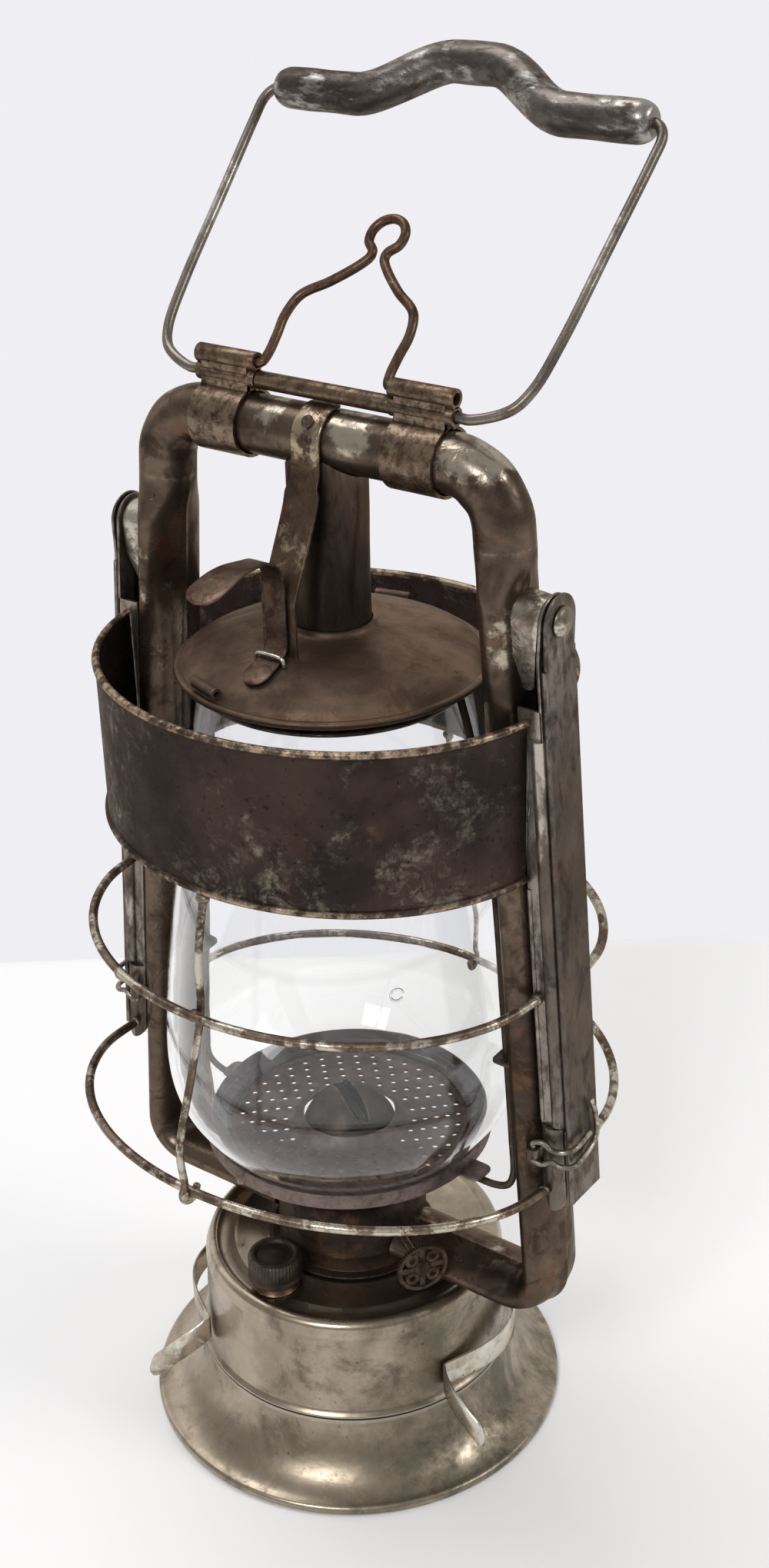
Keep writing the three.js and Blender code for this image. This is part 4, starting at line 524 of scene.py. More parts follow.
nickel = nickelPlate(clean=(0.46, 0.385, 0.297), dull=(0.3, 0.248, 0.187), stainColour=(0.125, 0.1, 0.073),
                     green=(0.045, 0.054, 0.037))
cork = corkGrain(colours=((0.42, 0.29, 0.17), (0.27, 0.17, 0.09)), scale=260)
cotton = cottonWeave(cloth=((0.5, 0.46, 0.36), (0.72, 0.68, 0.56)), soot=(0.02, 0.017, 0.015))
glass = clearGlass()
print("materials made")

# Sizes that several pieces share
sheet, gap = 0.9, 0.3  # thickness of the tin, and room between two pieces
tubeSplay, tubeShoulder, tubeSpan = math.radians(4.3), 297, 59
railSplay, railSpan = math.radians(4.16), 74.4
pivotZ, earDrop = 293, 9  # the guard's hinge, and how far its ears reach below it
topZ, topR = 330, 8.4
canopyR, canopyZ, canopyRise, centreR = 45.5, 265.5, 10.5, 11.4
plateZ = 103
onFrame = ("frame", "frame")


# Across to the side tube's axis, the rail's inside and the strip's outside: each leans out by its splay's
# tangent times the drop below the shoulder or the ear
def tubeX(z):
    return tubeSpan + (tubeShoulder - z) * math.tan(tubeSplay)


def railX(z):
    return railSpan + np.maximum(0, pivotZ - earDrop - z) * math.tan(railSplay)


def stripX(z):
    return railX(z) - sheet


# Height of the canopy's crown: its foot plus rise times (1 - share^2), share running from the centre to the rim
def canopyTop(r):
    return canopyZ + canopyRise * (1 - ((r - centreR) / (canopyR - centreR)) ** 2)


# Bell base
bell = {"rim": 68, "bead": 1.7, "bend": (55.5, 7.5), "throat": (51.4, 22), "top": 24.25}


# A rolled rim and a flare bent as a quadratic curve, turned about the axis
def bellPiece():
    rim, bead, throat = bell["rim"], bell["bead"], bell["throat"][0]
    flare = bent((rim - bead, bead * 2), bell["bend"], bell["throat"], 14)
    outline = [*arc(rim - bead, bead, bead, -90, 80, 8), *flare, (throat, bell["top"]),
               (throat - sheet, bell["top"]), *(flare[::-1] - (sheet, sheet * 0.4)), (rim - bead * 2, 0)]
    put("bellSkirt", lathe(outline, 160), nickel, "frame", "bell_skirt", 55)


# Fount: (radius, height) outlines in the order they are turned
fount = {"foot": 50.2, "taper": 2 / 38, "collar": 24.55, "roll": 3, "rollAt": (45.2, 57.1),
         "shoulder": [(48.75, 54.2), (48.9, 55.2), (48.75, 56.1)],
         "dish": [(44.9, 60), (44.3, 59.25), (42.8, 59.2), (40.2, 59.2), (39.4, 59.5), (38.5, 59.5), (37.7, 59.2),
                  (29, 59.2), (28.2, 59.55), (27.2, 59.55), (26.4, 59.2), (13, 59.2)],
         "inside": [(13, 58.3), (43.4, 58.3), (46.4, 56.2), (49.3, 24.5), (49.3, 12)],
         "pan": [(0, 13.8), (46, 13.8), (46.3, 13), (49, 12.9), (49, 15.9), (48.1, 15.9), (47.9, 14.9), (0, 14.7)]}


# The wall's radius falls by the taper times the height above 22, over a bright bead, to a rolled shoulder
def fountPiece():
    foot, collar = fount["foot"], fount["collar"]
    wall = lambda z: foot - fount["taper"] * (z - 22)
    outside = [(foot, 12), (foot, collar), (51.4, collar + 0.25), (51.55, collar + 0.7), (51.2, collar + 1.15),
               (wall(26.6) + 0.15, 26.3), *((wall(z), z) for z in (27.6, 40, 53))]
    roll = arc(*fount["rollAt"], fount["roll"], 5, 90, 8)
    shell = lathe(outside + fount["shoulder"] + roll + fount["dish"] + fount["inside"], 160)
    put("fountShell", shell, nickel, "frame", "fount_shell", 60)
    put("fountPan", lathe(fount["pan"], 96), tin["aged"], "frame", "fount_bottom")


# Spring clip: mouth, bowAngle, curl and turn are angles in degrees, the first from the front
clip = {"mouth": 52, "bowAngle": 62, "bow": 4.2, "flare": 21, "curl": 34, "droop": 11, "high": 9, "low": 29.5,
        "thick": 0.8, "endRound": 3.6, "turn": 18}


# The band stands bow sin^2 off its seat near the mouth. Each tab runs out by flare t^1.15, sideways by a share
# of t(1-t), and down by droop t^2. The strip's ends are rounded.
def clipPiece():
    c = clip
    seat, middle, mouth = fount["foot"] + gap + 0.4, c["low"] + c["high"] / 2, math.radians(c["mouth"])
    angle = np.linspace(c["mouth"], 360 - c["mouth"], 90)
    away = np.minimum(angle, 360 - angle) - c["mouth"]
    r = seat + np.where(away < c["bowAngle"], c["bow"] * np.sin(math.pi * away / c["bowAngle"]) ** 2, 0)
    body = pointsOf(r * np.sin(np.radians(angle)), -r * np.cos(np.radians(angle)), middle)
    t = np.linspace(0.08, 1, 14)
    out, along = c["flare"] * t ** 1.15, c["flare"] * math.sin(math.radians(c["curl"])) * t * (1 - t)
    tab = pointsOf((seat + out) * math.sin(mouth) - along * math.cos(mouth),
                   -(seat + out) * math.cos(mouth) - along * math.sin(mouth), middle - c["droop"] * t * t)
    line = smoothLine(np.vstack([tab[::-1], body, tab * (-1, 1, 1)]), 2)
    span = lengthAlong(line)
    half = c["high"] / 2 * roundEnd(np.minimum(span, span[-1] - span), c["endRound"], 0.05)
    strip = swept(line, ribbon(half, c["thick"], 0.25), (0, 0, 1))
    put("springClip", moved(strip, rotation("z", c["turn"])), tin["bright"], "frame", "spring_clip")


bellPiece()
fountPiece()
clipPiece()
print("base made")

# Filler: neck and cap stand on an axis that lies 36 mm from the middle, 7 degrees off the front
filler = {"at": (-36 * math.sin(math.radians(7)), -36 * math.cos(math.radians(7))), "foot": 59.5, "top": 67.2,
          "capLow": 62.9, "capTop": 71.7, "capBore": 6.85, "capR": 8.29, "knurls": 44, "knurlDepth": 0.16}


# Every third point of the neck's thread stands at 6.5 mm and the rest at 6. The cap's side is drawn in by
# depth (1 + cos(44 a)).
def fillerPieces():
    at, foot, top = filler["at"], filler["foot"], filler["top"]
    i = np.arange(12)
    thread = zip(np.where(i % 3 == 1, 6.5, 6.0), foot + 2.6 + i * 0.4)
    neck = [(4.8, foot), (7.4, foot), (7.6, foot + 0.4), (7.2, foot + 0.9), (6.2, foot + 1.8), *thread, (6, top),
            (4.8, top)]
    put("fillerNeck", lathe(neck, 64, at), tin["bracket"], "frame", "filler_neck")
    gasket = [(0, 67.5), (5.9, 67.5), (6, 67.7), (6, 68.5), (0, 68.5)]
    put("capGasket", lathe(gasket, 48, at), cork, "cap_thread", "cap_gasket")
    low, crown, inner, outer = filler["capLow"], filler["capTop"], filler["capBore"], filler["capR"]
    side = [(inner, low), (outer, low), (outer + 0.4, low + 0.5), (outer + 0.4, low + 1.2), (outer, low + 1.7),
            (outer, low + 2.2), (outer + 0.28, low + 2.5), (outer + 0.28, crown - 1.1), (outer - 0.1, crown - 0.4)]
    lid = [(outer - 0.9, crown), (outer - 1.8, crown), (outer - 2.3, crown - 0.5), (outer - 2.6, crown - 1.15),
           (3.4, crown - 1.25), (2.9, crown - 0.95), (0, crown - 0.9), (0, 68.8), (inner, 68.8)]

    def knurl(a, r, z):
        onSide = (r > outer + 0.2) & (z > low + 2.3) & (z < crown - 0.9)
        return np.where(onSide, -filler["knurlDepth"] * (1 + np.cos(filler["knurls"] * a)), 0)

    put("fillerCap", lathe(side + lid, 176, at, knurl), tin["dark"], "cap", "filler_cap", 50)


fillerPieces()

# Burner: outlines from the fount up, the cone's counted from its own foot
burner = {"turn": 58 - 90, "foot": 60.3, "top": 84.3, "coneFoot": 84.6,
          "floor": [(0, 59.5), (22.6, 59.5), (22.8, 59.7), (22.8, 60.7), (0, 60.7)],
          "coneSide": [(15.5, 0), (18.9, 0), (19, 0.3), (18.9, 0.9), (16.7, 1), (16.4, 1.3), (16.4, 5),
                       (16.7, 5.6), (16.7, 6.4), (16.4, 7), (16.4, 10.2), (16.1, 13), (15.25, 18), (14.1, 21.2)],
          "coneInside": [(14.2, 17.4), (15.4, 10)], "coneWall": 0.9, "slot": (11.6, 2.6),
          "crown": ((0, 2.6, 6.5, 9.2, 11.8, 14.1), (29.9, 29.8, 29.1, 27.6, 25.2, 21.2)),
          "wick": ((18, 20, 20, 19.2), (22.2, 22.8, 110.9, 111.3))}


# Floor and air chamber are outlines turned about the axis
def burnerPieces():
    foot, top = burner["foot"], burner["top"]
    put("burnerFloor", lathe(burner["floor"], 72), tin["dark"], "frame", "burner_floor")
    chamber = [(23.1, foot), (26.8, foot), (27, foot + 0.3), (26.8, foot + 0.75), (24.3, foot + 1),
               (24, foot + 1.4), (24, 66), (24.25, 66.5), (24.25, 67.4), (24, 67.9), (24, top - 6),
               (23.4, top - 3.7), (21.9, top - 1.8), (20, top - 0.6), (18, top), (12.5, top), (12.5, top - 0.9),
               (17.1, top - 0.9), (21, top - 2.7), (23.1, top - 6.4)]
    put("airChamber", lathe(chamber, 112), tin["chamber"], "frame", "air_chamber")
    # the wick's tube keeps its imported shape, with the windows that the spurs reach through
    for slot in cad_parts["wick_tube"].material_slots:
        slot.material = tin["dark"]


# The crown closes from its round edge to the flame slot: each point runs straight from the circle to the curve
# |x/11.6|^8 + |y/2.6|^8 = 1, at the height that the crown has at its own distance from the axis, first outside
# and then a wall lower inside
def burnerCone():
    a = fullTurn * np.arange(96) / 96
    flat = np.stack([np.cos(a), np.sin(a)], 1)
    slot, edge = np.sign(flat) * np.abs(flat) ** 0.25 * burner["slot"], flat * burner["coneSide"][-1][0]
    outward = np.array((0.25, 0.5, 0.75, 0.92, 1, 1, 0.75, 0.5, 0.25, 0))[:, None, None]
    crown = edge + (slot - edge) * outward
    lowered = np.repeat((0, burner["coneWall"]), 5)[:, None]
    height = np.interp(np.linalg.norm(crown, axis=2), *burner["crown"]) - lowered
    side, inside = (pointsOf(r * np.cos(a), r * np.sin(a), z)
                    for r, z in (np.array(burner[key]).T[..., None] for key in ("coneSide", "coneInside")))
    rings = np.concatenate([side, pointsOf(crown[..., 0], crown[..., 1], height), inside, side[:1]])
    cone = moved(loft(rings, caps=False), rotation("z", burner["turn"]), (0, 0, burner["coneFoot"]))
    put("burnerCone", cone, tin["dark"], "frame", "burner_cone")


# A rounded box risen through its widths and heights
def wickPiece():
    widths, heights = np.array(burner["wick"])
    strip = moved(risen(ribbon(widths / 2, 2, 0.7, 3), heights), rotation("z", burner["turn"]))
    put("wickStrip", strip, cotton, "wick_strip", "wick")


# Wick wheel and its shaft, laid out along x and then turned to the burner's direction
wheel = {"x": 44.5, "shaft": (-8.8, 43.15, 1.3), "y": 5.7, "z": 75.3, "spurs": (4.4, 3.5), "spurAt": 6,
         "rim": [(7.1, -0.7), (8.35, -0.75), (8.5, -0.4), (8.5, 0.4), (8.35, 0.75), (7.1, 0.7), (6.9, 0)],
         "hub": [(0, -1.3), (2.3, -1.35), (2.7, -0.9), (2.7, 0.7), (2.2, 1.25), (1.1, 1.5), (0, 1.35)],
         "petal": [(1.05, -0.42), (2.25, -0.42), (2.3, 0), (2.25, 0.42), (1.05, 0.42), (0.95, 0)]}


# Each spur is a plate whose radius steps between two values, four steps to a tooth. The wheel is a rim drawn in
# by 0.14 (1 + cos(56 a)), a hub, and four times a spoke and a petal ring on its stem.
def wheelPieces():
    x = wheel["x"]
    start, end, radius = wheel["shaft"]
    place = lambda shell: moved(moved(shell, None, (0, wheel["y"], wheel["z"])), rotation("z", burner["turn"]))
    onShaft = lambda shell, z=0: moved(shell, rotation("y", 90), (x, 0, z))
    k = np.arange(32)
    reach = np.where(k % 4 < 2, *wheel["spurs"])
    teeth = np.stack([reach * np.cos(fullTurn * k / 32), reach * np.sin(fullTurn * k / 32)], 1)
    spurs = [slab(teeth, 1.4, lambda a, b, t: (s * wheel["spurAt"] - 0.7 + t, a, b), 0.15) for s in (-1, 1)]
    shaft = tube([(start, 0, 0), (end, 0, 0)], radius, 20, smooth=False)
    put("wickShaft", place(merged(shaft, *spurs)), tin["aged"], "wick_drive", "wick_shaft")
    knurl = lambda a, r, z: np.where(r > 8.3, -0.14 * (1 + np.cos(56 * a)), 0)
    spoke = slab(box2(1.9, 5.8, 0.5), 0.8, lambda a, b, t: (x - 0.4 + t, a, b + 4.9), 0.12)
    stem = slab(box2(1.3, 1.6, 0.3), 0.8, lambda a, b, t: (x - 0.4 + t, a, b + 2.9), 0.1)
    petal = moved(merged(onShaft(lathe(wheel["petal"], 28), 4.8), stem), rotation("x", 45))
    web = [moved(part, rotation("x", 90 * i)) for i in range(4) for part in (spoke, petal)]
    rim, hub = onShaft(lathe(wheel["rim"], 224, (0, 0), knurl)), onShaft(lathe(wheel["hub"], 48))
    put("wickWheel", place(merged(rim, hub, *web)), tin["chamber"], "wick_drive", "wick_wheel")


burnerPieces()
burnerCone()
wickPiece()
wheelPieces()
print("burner made")

# Tubes: lap is where the side tube slips into the top one, and halfX and halfY are the oval's
tubes = {"elbow": 16, "halfX": 5.9, "halfY": 12, "lap": 311, "lowerZ": 68.6, "lowerElbow": 11, "seam": 0.8,
         "centre": ((273, 11.1, 11.1), (273.3, 11.4, 11.4), (290.5, 11.4, 11.4), (296, 11.8, 10.6),
                    (302, 12.2, 9.7), (308, 12.7, 8.8), (312.5, 13, 8.2), (318, 13, 8.2), (321.8, 13, 8.2)),
         "saddle": 8.72}


# Oval rings: centre + u (a cos t) + y (b sin t), and along u the folded seam's ridge of seam e^-(d/0.075)^2,
# d being the angle from the ring's inner or outer edge
def ovals(centre, u, a, b, sides, seam=0.0):
    t = fullTurn * np.arange(sides) / sides
    near = np.minimum(np.minimum(t, fullTurn - t), np.abs(t - math.pi))
    a, b, seam = (np.reshape(v, (-1, 1)) for v in (a, b, seam))
    across = a * np.cos(t) + np.copysign(seam * np.exp(-(near / 0.075) ** 2), np.cos(t))
    u = np.reshape(u, (-1, 1, 3))
    return centre[:, None] + across[..., None] * u + (b * np.sin(t))[..., None] * np.array((0, 1, 0))


# Half the tube: a bend about a corner with crimps of 0.12 sin(pi share) cos(9 a), then a short end that runs
# down over the side tube's lap. The other half is its mirror image.
def topTubePiece():
    turn = math.pi / 2 - tubeSplay
    share = np.linspace(0, 1, 19)
    a = turn * share
    out = pointsOf(np.sin(a), 0, np.cos(a))
    corner = (tubeX(topZ) - tubes["elbow"] * math.tan(turn / 2), 0, topZ - tubes["elbow"])
    endZ = tubes["lap"] + np.array((0.6, -0.5))
    centre = np.vstack([corner + out * tubes["elbow"], pointsOf(tubeX(endZ), 0, endZ)])
    radius = np.append(topR + 0.12 * np.sin(math.pi * share) * np.cos(9 * a), (topR, topR + 0.03))
    rings = ovals(centre, np.vstack([out, out[-1:], out[-1:]]), radius, radius, 64)
    whole = np.concatenate([rings[::-1] * (-1, 1, 1), rings])
    put("topTube", loft(whole), tin["tube"], "frame", "top_tube")


# Down from the round lap the section grows oval by its share, then follows the lower elbow and runs inwards
def sideTubePieces():
    t = tubes
    z = np.append(t["lap"] - gap - np.array((0, 1.5, 4, 7, 10, 12.5)), (tubeShoulder, 260, 200, 150, 110))
    share = np.array((0, 0.02, 0.16, 0.5, 0.84, 0.98, 1, 1, 1, 1, 1))
    a, b = (topR + (t[key] - topR) * share for key in ("halfX", "halfY"))
    slope = (math.cos(tubeSplay), 0, math.sin(tubeSplay))
    upper = ovals(pointsOf(tubeX(z), 0, z), slope, a, b, 96, t["seam"] * share)
    turn = math.pi / 2 + tubeSplay
    bend = tubeSplay - turn * np.linspace(0, 1, 15)
    out = pointsOf(np.cos(bend), 0, np.sin(bend))
    corner = (tubeX(t["lowerZ"]) - t["lowerElbow"] * math.tan(turn / 2), 0, t["lowerZ"] + t["lowerElbow"])
    elbow = ovals(corner + out * t["lowerElbow"], out, t["halfX"], t["halfY"], 96, t["seam"])
    inward = ovals(pointsOf((38, 28, 23.2), 0, t["lowerZ"]), (0, 0, -1), t["halfX"], t["halfY"], 96, t["seam"])
    shell = loft(np.concatenate([upper, elbow, inward]))
    both("sideTube", shell, tin["tube"], onFrame, "side_tube")


# Ovals from round to flat, with shallow flutes r (1 - 0.022 cos^2(4t)). The last ring is the saddle, which
# follows the underside of the top tube: z = its axis - sqrt(saddle^2 - y^2).
def centreTubePiece():
    z, a, b = np.array(tubes["centre"]).T[..., None]
    t = fullTurn * np.arange(96) / 96
    share = 1 - 0.022 * np.cos(4 * t) ** 2 * np.clip((z - 276) / 8, 0, 1)
    rings = pointsOf(a * share * np.cos(t), b * share * np.sin(t), z)
    rings[-1, :, 2] = topZ - np.sqrt(tubes["saddle"] ** 2 - rings[-1, :, 1] ** 2)
    put("centreTube", loft(rings), tin["centre"], "frame", "centre_tube")


topTubePiece()
sideTubePieces()
centreTubePiece()
print("tubes made")

# Canopy
canopy = {"rimBead": 1.2, "hem": [(43.35, -0.35), (42.9, 0.15), (42.3, 1.05)], "crown": (41, 38, 33, 28, 23, 18),
          "under": (18, 28, 36, 42.3), "lugs": (-18, 192), "dent": 0.12,
          "curl": [(0.85, -5.5), (1.6, -5.4), (1.7, -4.6), (1.7, 4.6), (1.6, 5.4), (0.85, 5.5), (0.8, 0)],
          "ring": [(36.1, -11), (37, -11), (37.6, -10.7), (37.9, -10.1), (37.6, -9.5), (37, -9.2), (37, -1.2),
                   (37.3, -0.6), (37, 0), (36.1, 0)]}


# The crown's curve turned about the axis, with slow dents of 0.12 sin(3a + 0.2) sin(2a + r/9). A lug is a
# rolled tab, turned about its own length and laid at the rim.
def canopyPieces():
    bead, bore = canopy["rimBead"], centreR + 0.35
    neck = canopyTop(bore)
    rim = [*arc(canopyR - bead, canopyZ - bead, bead, -140, 75, 10), *((r, canopyZ + z) for r, z in canopy["hem"])]
    crown = [*((r, canopyTop(r)) for r in canopy["crown"]), (14.6, canopyTop(14.6)), (13.6, neck + 0.3),
             (13.1, neck + 0.9), (12.9, neck + 1.5), (12.5, neck + 1.6), (bore, neck + 1.5), (bore, neck - 0.9)]
    under = [(r, canopyTop(r) - sheet) for r in canopy["under"]]
    wave = lambda a, r: canopy["dent"] * np.sin(3 * a + 0.2) * np.sin(2 * a + r / 9)
    dent = lambda a, r, z: np.where((r > 16) & (r < 42), wave(a, r), 0)
    curl = moved(lathe(canopy["curl"], 28), rotation("y", 90), (0, 2.72 - canopyR, canopyTop(canopyR - 3.4)))
    lugs = [moved(curl, rotation("z", angle)) for angle in canopy["lugs"]]
    dome = merged(lathe(rim + crown + under, 144, (0, 0), dent), *lugs)
    put("canopyDome", dome, tin["canopy"], "globe_carrier", "canopy", 50)
    ring = [(r, canopyTop(37) - 1.5 + z) for r, z in canopy["ring"]]
    put("globeTopRing", lathe(ring, 96), tin["dark"], "globe_carrier", "globe_top_ring")


# Thumb lever and spring strap: (y, z) lines in the plane x = 0
strap = {"foot": -23.4, "drop": [(-0.3, 322.4), (-0.9, 320.4), (-1.8, 318.5)], "narrow": 4.75, "wide": 5.75,
         "lean": [(-12.5, 313.4), (-18, 301.7), (-22.2, 293)], "rivetTurn": 140 - 90,
         "rivet": [(0, 8.5), (0.9, 8.5), (0.9, 9.9), (1.85, 9.9), (1.88, 10.15), (1.5, 10.7), (0.9, 11.02),
                   (0.45, 10.9), (0, 10.85)]}
lever = {"toe": 13, "rise": 29, "bend": 9, "half": 3.55, "thumb": 5.5, "foot": 4.1,
         "tail": [(-40.7, 0.8), (-46, 0.25), (-51, -0.9), (-58, -3)],
         "staple": {"y": -28.5, "half": 4.77, "over": 2.58, "low": 0.3, "bow": 1.44, "wire": 0.6}}


# The lever lies on the crown, stands up, and bends over by nearly a quarter round to the thumb's pad. Its half
# width rounds off at both ends and swells by a cosine towards the pad.
def leverPiece():
    surface = lambda y: canopyTop(-y) + gap * 2 + sheet / 2
    leg = strap["foot"] - sheet - gap - 0.35
    toe, top, bend = leg - lever["toe"], surface(leg) + lever["rise"], lever["bend"]
    line = [(toe, surface(toe)), (toe + 3, surface(toe + 3)), (leg - 6.5, surface(leg - 6.5)),
            (leg - 3.2, surface(leg - 3.2)), (leg - 1.2, surface(leg) + 0.4), (leg, surface(leg) + 2.4),
            (leg, top - 20), *arc(leg - bend, top - bend, bend, 0, 84, 8),
            *((y, top + z) for y, z in lever["tail"])]
    path = smoothLine(inYZ(line), 6)
    s = lengthAlong(path)
    left = s[-1] - s
    half, thumb, foot = lever["half"], lever["thumb"], lever["foot"]
    swell = half + (thumb - half) * (0.5 + 0.5 * np.cos(math.pi * np.clip((left - 9) / 16, 0, 1)))
    halves = np.select([s < 8, s < 12, left < 5.2, left < 26],
                       [foot * roundEnd(s, 4.1, 0.02), foot - (foot - half) * (s - 8) / 4,
                        thumb * roundEnd(left, 5.2, 0.01), swell], half)
    blade = swept(path, ribbon(halves, sheet, 0.3))
    put("thumbLever", blade, tin["lever"], "globe_carrier", "thumb_lever", 55)
    p = lever["staple"]
    crown = canopyTop(-p["y"])
    over, x = crown + p["over"], -p["half"]
    side = pointsOf((x, x, x + 0.4, x + p["bow"]), p["y"], (crown + p["low"], over - p["bow"], over - 0.4, over))
    wire = tube(withMirror(side), p["wire"], 14, 6)
    put("leverStaple", wire, tin["bright"], "globe_carrier", "lever_staple")


# The strap wraps the top tube, leans down to the canopy and stands in it. It is wide below the shoulder at
# z 317-320, and narrow over the tube.
def strapPieces():
    r = topR + gap + sheet / 2
    y, foot = strap["foot"], canopyTop(23.4) - 2.7
    line = [*arc(0, topZ, r, 84, 186, 13), *((-r + dy, z) for dy, z in strap["drop"]), *strap["lean"],
            (y, 290.2), (y, 287.5), (y, foot)]
    path = smoothLine(inYZ(line), 5)
    wide, narrow = strap["wide"], strap["narrow"]
    below = np.linspace(0, 1, len(path)) > 0.25
    half = np.where(below, wide - (wide - narrow) * eased(path[:, 2], 317, 320), narrow)
    blade = swept(path, ribbon(half, sheet, 0.3, 3))
    put("springStrap", blade, tin["aged"], "frame", "spring_strap", 50)
    rivet = moved(lathe(strap["rivet"], 32), rotation("x", strap["rivetTurn"]), (0, 0, topZ))
    put("strapRivet", rivet, tin["dark"], "frame", "strap_rivet")


canopyPieces()
leverPiece()
strapPieces()
print("canopy made")

# Globe: shares of its bulge (16 mm on a foot of 40) and of its height (158.5), from the foot up
globe = {"foot": 40, "bulge": 16, "high": 158.5, "wall": 2,
         "mark": {"angle": 54, "r": 51.75, "z": 182, "size": 1.9},
         "curve": ((0, 0), (0.2, 0.018), (0.4, 0.04), (0.62, 0.071), (0.82, 0.105), (0.95, 0.145), (1, 0.19),
                   (0.995, 0.24), (0.97, 0.29), (0.9, 0.365), (0.8, 0.44), (0.66, 0.543), (0.5, 0.65),
                   (0.35, 0.765), (0.22, 0.87), (0.13, 0.945), (0.094, 1))}


# A smooth curve through the shares, and the same curve a wall further in, turned about the axis. The mould's
# mark is a small open ring on the wall: an upright circle along the tangent at its angle.
def globePieces():
    low = plateZ + sheet + gap
    outer = smoothLine(np.array(globe["curve"]) * (globe["bulge"], globe["high"]) + (globe["foot"], low), 3)
    outline = [*outer, outer[-1] + (-0.6, 0.25), outer[-1] + (-1.5, 0.2), *(outer[::-1] - (globe["wall"], 0))]
    m = globe["mark"]
    c, s, a = math.cos(math.radians(m["angle"])), math.sin(math.radians(m["angle"])), np.linspace(0.3, 5.6, 14)
    along = m["size"] * np.cos(a)
    ring = pointsOf(m["r"] * s + along * c, along * s - m["r"] * c, m["z"] + m["size"] * np.sin(a))
    shell = merged(lathe(outline, 144), tube(ring, 0.35, 8, 3))
    put("globeGlass", shell, glass, "globe_carrier", "globe", 60)


# Globe plate: rings of holes, then the hub round the cone, the rim, and an ear for each lift wire
plate = {"rings": (20.7, 24.3, 27.9, 31.5, 35.1), "counts": (22, 26, 30, 34, 38), "step": 3.6, "hole": 1.05,
         "hub": [(17.1, -0.9), (19, -0.9), (19, 0), (18.2, 0.15), (17.3, 0.6), (16.2, 1.7), (15.3, 3), (14.9, 3.4),
                 (14.5, 3.1), (15.1, 1.9), (15.7, 0.7), (16.6, -0.4)],
         "rim": [(36.9, -0.9), (45.1, -0.9), (45.5, -0.5), (45.5, 3.6), (45.2, 4), (44.8, 4), (44.6, 3.6),
                 (44.6, 0.4), (44.2, 0), (36.9, 0)], "ear": (44.6, 52, 4.5, 3)}


# Each hole sits in a cell of eight points, half a step in and out and half its ring's angle to each side. Eight
# points at the hole's radius lie in the same directions, and both sets repeat a sheet lower.
def platePiece():
    top, counts = plateZ + sheet, plate["counts"]
    r, count, offset = (np.repeat(v, counts)[:, None] for v in (plate["rings"], counts, (0, 0.5, 0, 0.5, 0)))
    a = fullTurn * (np.concatenate([np.arange(c) for c in counts])[:, None] + offset) / count
    u, v = np.array(((-1, -1), (0, -1), (1, -1), (1, 0), (1, 1), (0, 1), (-1, 1), (-1, 0))).T
    size = plate["hole"] / np.hypot(u, v)
    radius = np.stack([r + v * plate["step"] / 2, r + v * size], 1)
    angle = np.stack([a + u * math.pi / count, a + u * size / r], 1)
    flat = pointsOf(radius * np.cos(angle), radius * np.sin(angle), top)
    cells = np.concatenate([flat, flat - (0, 0, sheet)], 1)
    i, j = np.arange(8), np.roll(np.arange(8), -1)
    pattern = np.concatenate([np.stack(quad, 1) for quad in (
        (i, j, 8 + j, 8 + i), (16 + j, 16 + i, 24 + i, 24 + j), (8 + i, 8 + j, 24 + j, 24 + i))])
    faces = (pattern + 32 * np.arange(len(cells))[:, None, None]).reshape(-1, 4).tolist()
    hub, rim = (lathe([(r, top + z) for r, z in plate[key]], sides) for key, sides in (("hub", 96), ("rim", 112)))
    root, tip, half, corner = plate["ear"]
    outline = fillet([(root, -half), (tip, -half, corner), (tip, half, corner), (root, half)], 0.2, 5)
    ear = slab(outline, sheet, lambda a, b, t: (a, b, plateZ + t), 0.2)
    shell = merged((cells.reshape(-1, 3), faces), hub, rim, ear, flippedX(ear))
    put("globePlate", shell, tin["plate"], "globe_carrier", "globe_plate")


# Lift wires: (share out, share up) from the canopy's rim to the knee, where x = 43.6 + 18.4 out
liftWire = {"top": 43.6, "out": 18.4, "knee": 6.5, "wire": 1.15,
            "shares": ((0, 1), (0.17, 0.93), (0.57, 0.68), (0.81, 0.35), (0.97, 0.09), (1, 0))}


# A wire along those shares, then round the knee and in under the plate
def liftWires():
    z = plateZ - gap - 1.2
    knee, top = z + liftWire["knee"], canopyZ - 2.4 - 0.42
    out, up = np.array(liftWire["shares"]).T
    side = zip(liftWire["top"] + liftWire["out"] * out, knee + (top - knee) * up)
    wire = tube(inXZ([*side, (60.05, z + 1.95), (55.5, z), (43.3, z)]), liftWire["wire"], 14, 8)
    both("liftWire", wire, tin["dark"], ("globe_carrier",) * 2, "lift_wire")


globePieces()
platePiece()
liftWires()
print("globe made")

# Guard: heights of the bands, and sections of rail and strip
guard = {"flange": 7.6, "railHalf": 7.25, "railFoot": 113, "stripFront": -8, "webDepth": 6.5, "beadFoot": 139.5,
         "bandLow": 217, "bandHigh": 267, "bandX": 70.5, "bandY": 62, "bandRim": 1.2, "dent": 0.22}


# The round-topped ear of a rail or strip: a half circle about the pivot on a straight foot
def earPlate(radius, yLow, yHigh, x):
    bend = pivotZ - earDrop - 1
    outline = [*arc(0, pivotZ, radius, 0, 180, 21), (yLow, bend), (yHigh, bend)]
    return slab(outline, sheet, lambda a, b, t: (x + t, a, b), 0.22)


